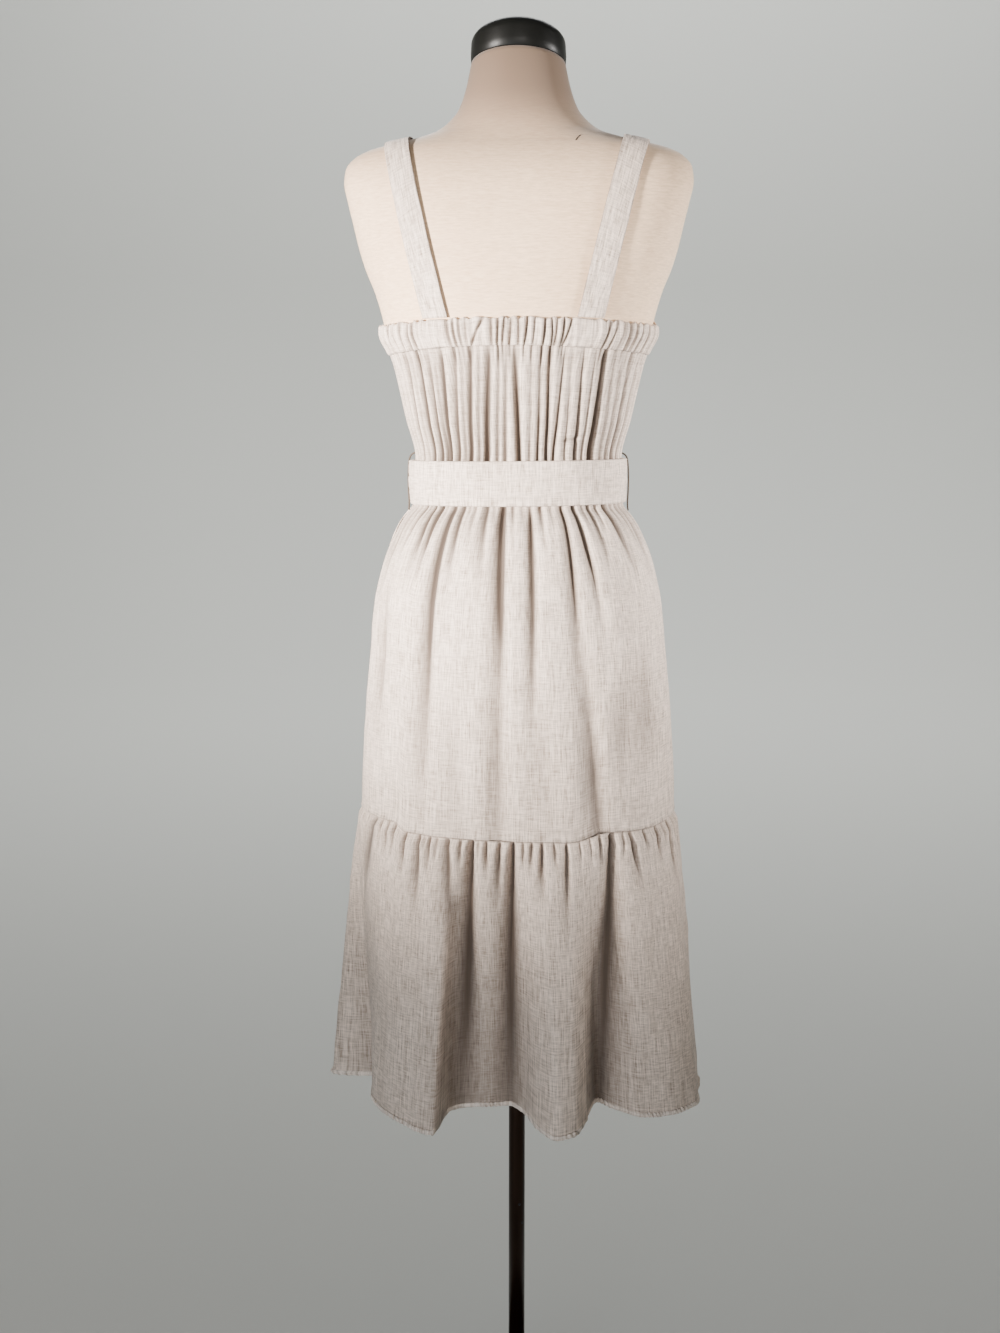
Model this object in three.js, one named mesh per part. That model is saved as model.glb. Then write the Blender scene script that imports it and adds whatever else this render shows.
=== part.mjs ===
// Strappy midi sundress in oatmeal linen, worn by a limbless dress form on its stand.
// Millimetres, +Z up. The back of the dress faces -Y and the origin is the middle of the
// base disc's underside, on the line of the pole.
import * as THREE from 'three';

// Heights above the floor
const HEM_HEIGHT = 455;
const WAIST_HEIGHT = 1188;
const BELT_BOTTOM = 1163;
const BELT_TOP = 1213.5;
const CASING_BOTTOM = 1341;
const CASING_TOP = 1371;
const NECK_TOP = 1654;
const FORM_BOTTOM = 960;

// Cloth
const WALL = 1.6;
const CASING_WALL = 2.4;
const BELT_WALL = 3;
const STRAP_WALL = 2;
const STRAP_WIDTH = 29;
const SEAM_GAP = 0.3;
const LOOP_RADIUS = 1;

// Dress form and stand
const NECK_TILT = Math.tan(THREE.MathUtils.degToRad(15));
const CAP_BAND = 21;
const CAP_DOME = 21;
const POLE_RADIUS = 10;
const COLLAR_RADIUS = 33;
const COLLAR_HEIGHT = 10;
const BASE_RADIUS = 150;
const BASE_HEIGHT = 16;

// Rings of the dress form: half width at the sides, depth to the front and to the back, and
// how square the ring is, where 2 is an ellipse
const FORM_RINGS = [
  { z: 960, half: 132, front: 82, back: 90, square: 2 },
  { z: 968, half: 143, front: 92, back: 100, square: 2 },
  { z: 1000, half: 150, front: 100, back: 106, square: 2 },
  { z: 1045, half: 148, front: 99, back: 107, square: 2 },
  { z: 1085, half: 140, front: 94, back: 98, square: 2 },
  { z: 1115, half: 130, front: 89, back: 89, square: 2 },
  { z: 1140, half: 120, front: 85, back: 81, square: 2 },
  { z: 1163, half: 111, front: 81, back: 76, square: 2 },
  { z: 1188, half: 108, front: 79, back: 74, square: 2 },
  { z: 1215, half: 108.5, front: 83, back: 77, square: 2 },
  { z: 1250, half: 117, front: 94, back: 83, square: 2 },
  { z: 1285, half: 125.5, front: 104, back: 88, square: 2 },
  { z: 1313, half: 132, front: 110, back: 93, square: 2 },
  { z: 1337, half: 141, front: 112, back: 98, square: 2 },
  { z: 1356, half: 152, front: 109, back: 101.5, square: 2 },
  { z: 1381, half: 158.5, front: 104, back: 104, square: 2.02 },
  { z: 1404, half: 165.5, front: 99, back: 105, square: 2.1 },
  { z: 1429, half: 175.5, front: 94, back: 105, square: 2.2 },
  { z: 1450, half: 182, front: 90, back: 103.5, square: 2.3 },
  { z: 1480, half: 189, front: 84, back: 99, square: 2.45 },
  { z: 1505, half: 195, front: 76, back: 92, square: 2.55 },
  { z: 1525, half: 199, front: 68, back: 84, square: 2.6 },
  { z: 1541, half: 197, front: 62, back: 76, square: 2.6 },
  { z: 1553, half: 187, front: 57, back: 69, square: 2.6 },
  { z: 1561, half: 171, front: 54, back: 64, square: 2.55 },
  { z: 1567, half: 148, front: 52, back: 60, square: 2.45 },
  { z: 1574, half: 118, front: 50, back: 57, square: 2.3 },
  { z: 1582, half: 94, front: 49, back: 55, square: 2.15 },
  { z: 1592, half: 80, front: 49, back: 54, square: 2.05 },
  { z: 1606, half: 68, front: 48, back: 53, square: 2 },
  { z: 1630, half: 59, front: 46, back: 51, square: 2 },
  { z: 1654, half: 53.5, front: 45, back: 49, square: 2 },
];

// Rings of the cloth before its folds: the dress's outer face
const CLOTH_RINGS = [
  { z: 440, half: 223, front: 151, back: 140 },
  { z: 500, half: 219, front: 148, back: 139 },
  { z: 605, half: 211, front: 145, back: 138 },
  { z: 685, half: 204, front: 142, back: 137 },
  { z: 791, half: 188, front: 136, back: 135 },
  { z: 838, half: 186, front: 132, back: 133 },
  { z: 913, half: 182, front: 128, back: 130 },
  { z: 988, half: 175, front: 124, back: 127 },
  { z: 1021, half: 172, front: 122, back: 125 },
  { z: 1051, half: 168, front: 119, back: 122 },
  { z: 1077, half: 161, front: 116, back: 117 },
  { z: 1108, half: 151, front: 112, back: 109 },
  { z: 1134, half: 140, front: 106, back: 101 },
  { z: 1150, half: 131, front: 100, back: 95 },
  { z: 1162, half: 123, front: 94, back: 89.5 },
  { z: 1188, half: 123.6, front: 93.5, back: 90 },
  { z: 1215, half: 118, front: 93.5, back: 88.5 },
  { z: 1257, half: 128, front: 105, back: 93.5 },
  { z: 1288, half: 135, front: 114, back: 98 },
  { z: 1313, half: 141, front: 119, back: 102 },
  { z: 1337, half: 150, front: 120, back: 106 },
  { z: 1356, half: 158.5, front: 115, back: 105.8 },
  { z: 1371, half: 160, front: 110.5, back: 106.6 },
  { z: 1410, half: 171, front: 101.5, back: 110 },
];

// Folds at the hem: angle round the dress from the middle of the back, how far each stands
// out of the ring, and how far it leans along it
const HEM_FOLDS = [
  { at: -90, out: 8, along: 0 },
  { at: -79, out: -50, along: 0 },
  { at: -66, out: -38, along: 0 },
  { at: -50, out: -5, along: 0 },
  { at: -30, out: 31, along: 6 },
  { at: -22, out: 45, along: 8 },
  { at: -17.5, out: -16, along: -9 },
  { at: -11.5, out: -38, along: 0 },
  { at: -1, out: -43, along: 0 },
  { at: 4.5, out: -26, along: 0 },
  { at: 8.5, out: 13, along: 0 },
  { at: 14, out: 40, along: -2 },
  { at: 19.5, out: 32, along: -4 },
  { at: 25, out: -12, along: 1 },
  { at: 29.5, out: -43, along: 7 },
  { at: 36.5, out: -22, along: 0 },
  { at: 43.5, out: 7, along: 0 },
  { at: 58, out: 17, along: -8 },
  { at: 68, out: 18, along: -4 },
  { at: 79, out: 2, along: 0 },
  { at: 96, out: 0, along: 0 },
  { at: 108, out: -30, along: 3 },
  { at: 122, out: 14, along: -4 },
  { at: 134, out: 30, along: 0 },
  { at: 145, out: -26, along: 5 },
  { at: 156, out: -30, along: -4 },
  { at: 167, out: 20, along: -2 },
  { at: 180, out: 26, along: 4 },
  { at: 194, out: -34, along: 4 },
  { at: 205, out: -18, along: -4 },
  { at: 220, out: 28, along: -3 },
  { at: 233, out: 16, along: 5 },
  { at: 246, out: -34, along: -3 },
  { at: 257, out: 0, along: 0 },
];

// Height of the seam between the skirt and its tier
const TIER_SEAM = [
  { at: -90, z: 801 },
  { at: -50, z: 799 },
  { at: -34, z: 790 },
  { at: 12, z: 788 },
  { at: 22, z: 786.5 },
  { at: 36, z: 794.5 },
  { at: 54, z: 793 },
  { at: 90, z: 800 },
  { at: 180, z: 794 },
];
const TIER_SEAM_GAP = 0.5;

// Creases of the gathered back bodice: angle at the casing and at the belt
const BODICE_CREASES = [
  { top: -72, low: -75, depth: 3, width: 2.6 },
  { top: -58, low: -63.6, depth: 4.5, width: 2.2 },
  { top: -48, low: -51.5, depth: 5, width: 2 },
  { top: -41, low: -44.7, depth: 3.5, width: 1.8 },
  { top: -34, low: -38.5, depth: 5, width: 1.9 },
  { top: -25.5, low: -32.6, depth: 4, width: 1.8 },
  { top: -20, low: -24.7, depth: 4.5, width: 1.9 },
  { top: -10.5, low: -14.8, depth: 5.5, width: 2.1 },
  { top: -5, low: -7.2, depth: 3, width: 1.6 },
  { top: 2.3, low: 4.6, depth: 5.5, width: 2 },
  { top: 8.7, low: 9.6, depth: 3, width: 1.7 },
  { top: 16.8, low: 14.2, depth: 5, width: 1.9 },
  { top: 23.6, low: 19.3, depth: 4, width: 1.8 },
  { top: 30.1, low: 29.8, depth: 4, width: 1.9 },
  { top: 36.7, low: 40.5, depth: 5, width: 2.2 },
  { top: 49, low: 47.7, depth: 5, width: 2.1 },
  { top: 61.5, low: 63, depth: 4, width: 2.4 },
  { top: 75, low: 74, depth: 3, width: 2.6 },
];

// Creases of the skirt that start under the belt, and the soft valleys lower down: angle
// at their upper and lower end, the heights between which they run, depth and half width
const SKIRT_CREASES = [
  { top: -80, low: -80, from: 1188, to: 1085, depth: 4, width: 4 },
  { top: -64, low: -72, from: 1188, to: 1060, depth: 5, width: 3.4 },
  { top: -55, low: -61, from: 1188, to: 1105, depth: 4.5, width: 2.4 },
  { top: -48, low: -50, from: 1188, to: 1090, depth: 5, width: 2.3 },
  { top: -42, low: -44, from: 1188, to: 1075, depth: 5.5, width: 2.2 },
  { top: -35, low: -33.5, from: 1188, to: 960, depth: 6.5, width: 2.5 },
  { top: -27.5, low: -26, from: 1188, to: 1060, depth: 5, width: 2 },
  { top: -20.5, low: -19, from: 1188, to: 1110, depth: 4, width: 2 },
  { top: -13.6, low: -12.4, from: 1188, to: 1070, depth: 5.5, width: 2 },
  { top: -4.5, low: -2.8, from: 1188, to: 960, depth: 8, width: 2.4 },
  { top: 0.5, low: 1, from: 1188, to: 1115, depth: 3.5, width: 1.6 },
  { top: 9.7, low: 7.8, from: 1188, to: 900, depth: 5.5, width: 2.2 },
  { top: 15.6, low: 14, from: 1188, to: 1115, depth: 4.5, width: 2 },
  { top: 26.8, low: 24.5, from: 1188, to: 960, depth: 5, width: 2.4 },
  { top: 33.2, low: 38, from: 1188, to: 1000, depth: 6.5, width: 2.2 },
  { top: 43.5, low: 44, from: 1188, to: 1075, depth: 5, width: 2.2 },
  { top: 50, low: 47.5, from: 1188, to: 1120, depth: 4.5, width: 2 },
  { top: 57, low: 63, from: 1188, to: 1050, depth: 5.5, width: 2.6 },
  { top: 70, low: 74, from: 1188, to: 1100, depth: 4, width: 3 },
  { top: 83, low: 84, from: 1188, to: 1100, depth: 4, width: 3 },
  { top: -63, low: -62, from: 1080, to: 850, depth: 5, width: 6 },
  { top: -34, low: -33, from: 1030, to: 830, depth: 5, width: 6 },
  { top: -3, low: -2.5, from: 1010, to: 810, depth: 5, width: 5 },
  { top: 25, low: 32, from: 1010, to: 805, depth: 7, width: 5 },
  { top: 60, low: 58, from: 1020, to: 840, depth: 4, width: 7 },
];

// The same on the front of the skirt
const FRONT_SKIRT_CREASES = [
  { top: 98, low: 96, from: 1188, to: 1090, depth: 4.5, width: 3 },
  { top: 108, low: 104, from: 1188, to: 1060, depth: 5, width: 3.2 },
  { top: 120, low: 118, from: 1188, to: 1100, depth: 4.5, width: 2.6 },
  { top: 128, low: 125, from: 1188, to: 980, depth: 7, width: 3 },
  { top: 138, low: 137, from: 1188, to: 1085, depth: 5, width: 2.6 },
  { top: 147, low: 145, from: 1188, to: 1040, depth: 6, width: 2.6 },
  { top: 157, low: 157, from: 1188, to: 1105, depth: 4.5, width: 2.4 },
  { top: 166, low: 165, from: 1188, to: 960, depth: 6.5, width: 2.8 },
  { top: 176, low: 177, from: 1188, to: 1090, depth: 5, width: 2.4 },
  { top: 185, low: 184, from: 1188, to: 1030, depth: 6, width: 2.6 },
  { top: 196, low: 199, from: 1188, to: 970, depth: 7, width: 3 },
  { top: 207, low: 208, from: 1188, to: 1100, depth: 5, width: 2.6 },
  { top: 217, low: 220, from: 1188, to: 1050, depth: 6, width: 2.8 },
  { top: 229, low: 233, from: 1188, to: 990, depth: 6.5, width: 3 },
  { top: 241, low: 244, from: 1188, to: 1095, depth: 4.5, width: 3 },
  { top: 254, low: 259, from: 1188, to: 1060, depth: 5, width: 3.2 },
  { top: 126, low: 122, from: 1010, to: 830, depth: 6, width: 6 },
  { top: 165, low: 163, from: 1000, to: 815, depth: 6, width: 6 },
  { top: 200, low: 202, from: 1000, to: 820, depth: 6, width: 6 },
  { top: 236, low: 240, from: 1010, to: 840, depth: 5, width: 7 },
];

// Gathers of the tier below its seam: angle, angle lower down, depth, and how far each runs
const TIER_GATHERS = [
  { at: -82, low: -82, depth: 4, run: 45 },
  { at: -72, low: -74, depth: 5, run: 80 },
  { at: -59, low: -64, depth: 7, run: 110 },
  { at: -54.4, low: -55, depth: 4, run: 30 },
  { at: -50.1, low: -51, depth: 5, run: 40 },
  { at: -46.1, low: -47, depth: 5, run: 36 },
  { at: -40.3, low: -41, depth: 5.5, run: 50 },
  { at: -34, low: -34, depth: 4, run: 34 },
  { at: -29.3, low: -29, depth: 5, run: 42 },
  { at: -22.2, low: -22, depth: 5, run: 48 },
  { at: -17.3, low: -17, depth: 4, run: 34 },
  { at: -13.1, low: -15.5, depth: 8, run: 210 },
  { at: -8, low: -7.5, depth: 5, run: 40 },
  { at: -3.1, low: -3, depth: 4, run: 36 },
  { at: 1.5, low: -0.5, depth: 8, run: 200 },
  { at: 7.1, low: 7, depth: 4, run: 34 },
  { at: 11.6, low: 11, depth: 6, run: 60 },
  { at: 15.7, low: 16, depth: 4, run: 34 },
  { at: 20.3, low: 19, depth: 5, run: 90 },
  { at: 25.1, low: 25, depth: 3.5, run: 32 },
  { at: 33, low: 33, depth: 4.5, run: 40 },
  { at: 38.6, low: 34, depth: 8, run: 190 },
  { at: 46.6, low: 49, depth: 5.5, run: 60 },
  { at: 53.9, low: 54, depth: 4, run: 30 },
  { at: 61.9, low: 62, depth: 5, run: 42 },
  { at: 72.1, low: 73, depth: 5, run: 75 },
  { at: 82, low: 82, depth: 4, run: 45 },
];

// The front tier's gathers are spaced by a rule of uneven steps
const FRONT_GATHERS = { first: 97, last: 263, count: 21, depth: 5.5, run: 60 };

// Bust of the form and of the front bodice over it
const BUST = { height: 1325, spread: 38, angle: 27, width: 15, swell: 9 };

// Front neckline: height of the front bodice's upper edge
const NECKLINE = [
  { at: 90, z: 1366 },
  { at: 120, z: 1384 },
  { at: 138, z: 1397 },
  { at: 160, z: 1391 },
  { at: 180, z: 1388 },
  { at: 200, z: 1391 },
  { at: 222, z: 1397 },
  { at: 240, z: 1384 },
  { at: 270, z: 1366 },
];

const LINEN = { color: 0xd6cbc0, roughness: 0.9, metalness: 0 };
const FORM_COVER = { color: 0xe6d6c2, roughness: 0.85, metalness: 0 };
const DARK_GLOSS = { color: 0x2b2826, roughness: 0.2, metalness: 0.4 };
const DARK_METAL = { color: 0x3a302b, roughness: 0.35, metalness: 0.9 };

const { clamp, degToRad, radToDeg, smoothstep } = THREE.MathUtils;
const dress = new THREE.Group();

function addPart(name, geometry, finish) {
  const mesh = new THREE.Mesh(geometry, new THREE.MeshStandardMaterial(finish));
  mesh.name = name;
  dress.add(mesh);
}

// Smooth value of one column of a table at a place between its rows, with no overshoot
function readTable(rows, key, column, place) {
  if (place <= rows[0][key]) return rows[0][column];
  const last = rows.length - 1;
  if (place >= rows[last][key]) return rows[last][column];
  const slope = (i) => (rows[i + 1][column] - rows[i][column]) / (rows[i + 1][key] - rows[i][key]);
  const tangent = (i) => {
    if (i === 0) return slope(0);
    if (i === last) return slope(last - 1);
    const before = slope(i - 1);
    const after = slope(i);
    return before * after <= 0 ? 0 : (2 * before * after) / (before + after);
  };
  const i = rows.findIndex((row) => row[key] > place) - 1;
  const step = rows[i + 1][key] - rows[i][key];
  const s = (place - rows[i][key]) / step;
  const start = rows[i][column] * (1 + 2 * s) * (1 - s) ** 2 + step * tangent(i) * s * (1 - s) ** 2;
  const end = rows[i + 1][column] * s * s * (3 - 2 * s) - step * tangent(i + 1) * s * s * (1 - s);
  return start + end;
}

// The same round the dress, where the last row leads back to the first
function readRound(rows, column, angle) {
  const before = rows.map((row) => ({ ...row, at: row.at - 360 }));
  const after = rows.map((row) => ({ ...row, at: row.at + 360 }));
  return readTable([...before, ...rows, ...after], 'at', column, angle);
}

// Point of a ring at an angle in degrees from the middle of the back, moved out of the
// ring and along it
function ringPoint(rings, angle, z, out = 0, along = 0) {
  const half = readTable(rings, 'z', 'half', z);
  const turn = degToRad(angle);
  const depth = readTable(rings, 'z', Math.cos(turn) > 0 ? 'back' : 'front', z);
  const point = new THREE.Vector3(half * Math.sin(turn), -depth * Math.cos(turn), z);
  const normal = new THREE.Vector3(Math.sin(turn) / half, -Math.cos(turn) / depth, 0).normalize();
  const tangent = new THREE.Vector3(-normal.y, normal.x, 0);
  return point.addScaledVector(normal, out).addScaledVector(tangent, along);
}

function bell(distance) {
  return Math.exp(-distance * distance);
}

function bust(angle, z) {
  const side = Math.abs(Math.abs(angle) - 180);
  const across = bell((side - BUST.angle) / BUST.width);
  return BUST.swell * across * bell((z - BUST.height) / BUST.spread);
}

// Depth of a table's creases at one place of the skirt
function creaseDepth(creases, angle, z) {
  let depth = 0;
  for (const crease of creases) {
    const s = (crease.from - z) / (crease.from - crease.to);
    if (s <= 0 || s >= 1) continue;
    const centre = crease.top + (crease.low - crease.top) * s;
    const fade = smoothstep(s, 0, 0.16) * (1 - smoothstep(s, 0.3, 1));
    depth += crease.depth * fade * bell((angle - centre) / (crease.width * (1 + 0.5 * s)));
  }
  return depth;
}

// Outer faces of the dress's panels

function bodiceBackFace(angle, z) {
  const s = (casingBottom(angle) - z) / (casingBottom(angle) - WAIST_HEIGHT);
  let depth = 0;
  for (const crease of BODICE_CREASES) {
    const centre = crease.top + (crease.low - crease.top) * s;
    depth += crease.depth * bell((angle - centre) / crease.width);
  }
  const fade = smoothstep(s, -0.05, 0.25) * (1 - smoothstep(s, 0.82, 1));
  return ringPoint(CLOTH_RINGS, angle, z, (1.2 - depth) * fade);
}

function bodiceFrontFace(angle, z) {
  const darts = 0.6 * bell((Math.abs(angle - 180) - 30) / 4) * (1 - smoothstep(z, 1215, 1290));
  return ringPoint(CLOTH_RINGS, angle, z, bust(angle, z) - darts);
}

function skirtFace(angle, z) {
  const creases = Math.abs(angle) <= 90.5 ? SKIRT_CREASES : FRONT_SKIRT_CREASES;
  const wrapped = angle < -90.5 ? angle + 360 : angle;
  const puff = 1.5 * smoothstep(z, 1040, 1100) * (1 - smoothstep(z, 1138, 1160));
  return ringPoint(CLOTH_RINGS, wrapped, z, puff - creaseDepth(creases, wrapped, z));
}

function frontGathers() {
  const { first, last, count, depth, run } = FRONT_GATHERS;
  const rows = [];
  for (let i = 0; i < count; i += 1) {
    const at = first + ((last - first) * i) / (count - 1) + 1.6 * Math.sin(i * 2.3);
    const size = 0.8 + 0.35 * Math.sin(i * 1.7 + 1);
    rows.push({ at, low: at + 1.5 * Math.sin(i), depth: depth * size, run: run * size * size * 1.6 });
  }
  return rows;
}

const ALL_GATHERS = [...TIER_GATHERS, ...frontGathers()];

function tierFace(angle, z) {
  const wrapped = angle < -90.5 ? angle + 360 : angle;
  const top = readRound(TIER_SEAM, 'z', wrapped);
  const fallen = top - z;
  let depth = 0;
  for (const gather of ALL_GATHERS) {
    const s = fallen / gather.run;
    const centre = gather.at + (gather.low - gather.at) * Math.min(s, 1);
    const fade = 1 - smoothstep(s, 0.25, 1.2);
    depth += gather.depth * fade * bell((wrapped - centre) / (1.7 + 0.8 * Math.min(s, 1)));
  }
  const start = smoothstep(fallen, 0, 16);
  const puff = 4.5 * start * (1 - smoothstep(fallen, 20, 150));
  const grown = Math.max(fallen, 0) / (top - HEM_HEIGHT);
  const wave = grown ** 1.15;
  const out = readRound(HEM_FOLDS, 'out', wrapped) * wave + puff - depth * start;
  const along = readRound(HEM_FOLDS, 'along', wrapped) * wave;
  return ringPoint(CLOTH_RINGS, wrapped, z, out, along);
}

function casingBottom(angle) {
  return CASING_BOTTOM - 8 * Math.sin(degToRad(angle)) ** 2;
}

function casingTop(angle) {
  return CASING_TOP - 6 * Math.sin(degToRad(angle)) ** 2;
}

function casingFace(angle, z) {
  const strapFoot = bell((Math.abs(angle) - 32) / 6) ** 2;
  const ruche = 0.9 * Math.cos(degToRad(angle) * 38 + 1.2 * Math.sin(angle * 0.21));
  return ringPoint(CLOTH_RINGS, angle, z, 0.8 + ruche * (1 - strapFoot));
}

// A wall of cloth: a box of columns and rows whose front face follows the outer points
// and whose rear face lies one thickness inside them
function clothWall(columns, rows, thickness, outerPoint) {
  const geometry = new THREE.BoxGeometry(1, 1, 1, columns, rows, 1);
  const position = geometry.attributes.position;
  const small = 1e-3;
  for (let i = 0; i < position.count; i += 1) {
    const u = position.getX(i) + 0.5;
    const v = position.getY(i) + 0.5;
    const point = outerPoint(u, v);
    if (position.getZ(i) < 0) {
      const across = outerPoint(u + small, v).sub(outerPoint(u - small, v));
      const upward = outerPoint(u, v + small).sub(outerPoint(u, v - small));
      point.addScaledVector(across.cross(upward).normalize(), -thickness);
    }
    position.setXYZ(i, point.x, point.y, point.z);
  }
  geometry.computeVertexNormals();
  return geometry;
}

// A panel between two side seams, which stops half a seam gap short of each of them
function panel(face, start, end, lower, upper, columns, rows, thickness, crowd = 1) {
  const seamShift = (angle, z) => {
    const speed = face(angle + 0.05, z).distanceTo(face(angle - 0.05, z)) / 0.1;
    return SEAM_GAP / 2 / speed;
  };
  return clothWall(columns, rows, thickness, (u, v) => {
    const rough = start + (end - start) * u;
    const s = 1 - Math.sign(1 - v) * Math.abs(1 - v) ** crowd;
    const z = lower(rough) + (upper(rough) - lower(rough)) * s;
    const first = start + seamShift(start, z);
    const last = end - seamShift(end, z);
    return face(first + (last - first) * u, z);
  });
}

const waistUnder = () => WAIST_HEIGHT - SEAM_GAP / 2;
const waistOver = () => WAIST_HEIGHT + SEAM_GAP / 2;
const seamUnder = (angle) => readRound(TIER_SEAM, 'z', angle) - TIER_SEAM_GAP / 2;
const seamOver = (angle) => readRound(TIER_SEAM, 'z', angle) + TIER_SEAM_GAP / 2;
const hemLine = (angle) => HEM_HEIGHT - 0.04 * readRound(HEM_FOLDS, 'out', angle);
const neckline = (angle) => readTable(NECKLINE, 'at', 'z', angle);

// Back of the dress, from side seam to side seam
addPart('bodice_back', panel(bodiceBackFace, -90, 90, waistOver,
  (a) => casingBottom(a) - SEAM_GAP, 66, 6, WALL), LINEN);
addPart('casing_back', panel(casingFace, -90, 90, casingBottom, casingTop, 90, 1, CASING_WALL), LINEN);
addPart('skirt_back', panel(skirtFace, -90, 90, seamOver, waistUnder, 66, 10, WALL, 1.67), LINEN);
addPart('tier_back', panel(tierFace, -90, 90, hemLine, seamUnder, 90, 7, WALL, 1.5), LINEN);

// Front of the dress
addPart('bodice_front', panel(bodiceFrontFace, 90, 270, waistOver, neckline, 28, 7, WALL), LINEN);
addPart('skirt_front', panel(skirtFace, 90, 270, seamOver, waistUnder, 42, 7, WALL, 1.38), LINEN);
addPart('tier_front', panel(tierFace, 90, 270, hemLine, seamUnder, 54, 6, WALL, 1.5), LINEN);

// Belt: one folded strip round the waist, its outer end lapped over the inner one in front
const BELT_LAP = { start: -190, end: 205, rise: 25 };

function beltFace(angle, v) {
  const lap = smoothstep(angle, BELT_LAP.start + 360 - BELT_LAP.rise, BELT_LAP.start + 360);
  const lift = SEAM_GAP + 0.1 + BELT_WALL + lap * (BELT_WALL + 0.5);
  const z = BELT_BOTTOM + (BELT_TOP - BELT_BOTTOM) * v + 1.2 * Math.sin(degToRad(angle));
  const wrapped = angle > 180 ? angle - 360 : angle;
  return ringPoint(CLOTH_RINGS, wrapped, WAIST_HEIGHT, lift).setZ(z);
}

addPart('belt', clothWall(50, 2, BELT_WALL, (u, v) => {
  return beltFace(BELT_LAP.start + (BELT_LAP.end - BELT_LAP.start) * u, v);
}), LINEN);

// Thread loops at the side seams that carry the belt
function beltLoop(side) {
  const angle = side * 90;
  const beltX = Math.abs(beltFace(angle, 0.5).x) + LOOP_RADIUS;
  const upperX = Math.abs(bodiceBackFace(angle, 1221).x) + LOOP_RADIUS;
  const lowerX = Math.abs(skirtFace(angle, 1154).x) + LOOP_RADIUS;
  const route = [
    [upperX + 1, 1221],
    [beltX - 1.5, 1219],
    [beltX + 0.4, 1212],
    [beltX + 1.4, 1188],
    [beltX + 0.4, 1166],
    [lowerX - 0.8, 1159],
    [lowerX + 0.3, 1154],
  ];
  const curve = new THREE.CatmullRomCurve3(route.map(([x, z]) => new THREE.Vector3(side * x, 0, z)));
  const section = new THREE.Shape();
  section.absarc(0, 0, LOOP_RADIUS, 0, 2 * Math.PI);
  return new THREE.ExtrudeGeometry(section, { steps: 16, curveSegments: 3, extrudePath: curve });
}

addPart('belt_loop_left', beltLoop(-1), LINEN);
addPart('belt_loop_right', beltLoop(1), LINEN);

// Straps: each lies on the form from the casing's top, over the shoulder, to the neckline.
// A place along it is a turn in the plane across the shoulder, from the back round the top
const STRAP_FOOT = 85;
const STRAP_RIDGE = 134;
const SHOULDER_HEIGHT = 1568;
const STRAP_CENTRE = 1405;
const STRAP_CLEARANCE = 1.8;
const STRAP_STEPS = 46;

function formFace(x, turn) {
  const direction = new THREE.Vector3(0, -Math.cos(degToRad(turn)), Math.sin(degToRad(turn)));
  let near = 0;
  let far = 260;
  for (let i = 0; i < 40; i += 1) {
    const reach = (near + far) / 2;
    const y = direction.y * reach;
    const z = STRAP_CENTRE + direction.z * reach;
    const half = readTable(FORM_RINGS, 'z', 'half', z);
    const depth = readTable(FORM_RINGS, 'z', y < 0 ? 'back' : 'front', z);
    const square = readTable(FORM_RINGS, 'z', 'square', z);
    if (Math.abs(x / half) ** square + Math.abs(y / depth) ** square < 1) near = reach;
    else far = reach;
  }
  return new THREE.Vector3(x, 0, STRAP_CENTRE).addScaledVector(direction, near);
}

// Turns at which the strap meets the casing behind and the neckline in front
function strapEnds(x) {
  const angle = radToDeg(Math.asin(x / readTable(CLOTH_RINGS, 'z', 'half', CASING_TOP)));
  const footDepth = Math.abs(formFace(x, -20).y) + STRAP_CLEARANCE + STRAP_WALL;
  const frontDepth = formFace(x, 185).y + STRAP_CLEARANCE + STRAP_WALL;
  const footDrop = STRAP_CENTRE - casingTop(angle) - SEAM_GAP;
  const frontDrop = STRAP_CENTRE - neckline(180 - angle) - SEAM_GAP;
  const first = -radToDeg(Math.atan(footDrop / footDepth));
  const last = 180 + radToDeg(Math.atan(frontDrop / frontDepth));
  return { first, last };
}

function strapFace(side, u, v) {
  const offset = side * (u - 0.5) * STRAP_WIDTH;
  const { first, last } = strapEnds(STRAP_FOOT + offset);
  const turn = first + (last - first) * v;
  let x = STRAP_RIDGE + offset;
  for (let i = 0; i < 4; i += 1) {
    const rise = (formFace(x, turn).z - CASING_TOP) / (SHOULDER_HEIGHT - CASING_TOP);
    x = STRAP_FOOT + (STRAP_RIDGE - STRAP_FOOT) * clamp(rise, 0, 1) + offset;
  }
  const small = 0.5;
  const across = formFace(x + small, turn).sub(formFace(x - small, turn));
  const onward = formFace(x, turn + small).sub(formFace(x, turn - small));
  const lift = STRAP_CLEARANCE + STRAP_WALL;
  const point = formFace(x, turn).addScaledVector(across.cross(onward).normalize(), lift);
  point.x *= side;
  return point;
}

for (const [name, side] of [['strap_left', -1], ['strap_right', 1]]) {
  addPart(name, clothWall(2, STRAP_STEPS, STRAP_WALL, (u, v) => strapFace(side, u, v)), LINEN);
}

// Dress form: a smooth limbless torso with rounded shoulders and a slanting neck top
function roundSolid(profile, segments, place) {
  const points = profile.map(([radius, height]) => new THREE.Vector2(radius, height));
  const geometry = new THREE.LatheGeometry(points, segments);
  const position = geometry.attributes.position;
  for (let i = 0; i < position.count; i += 1) {
    const point = place(position.getX(i), position.getY(i), position.getZ(i));
    position.setXYZ(i, point.x, point.y, point.z);
  }
  geometry.computeVertexNormals();
  return geometry;
}

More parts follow.
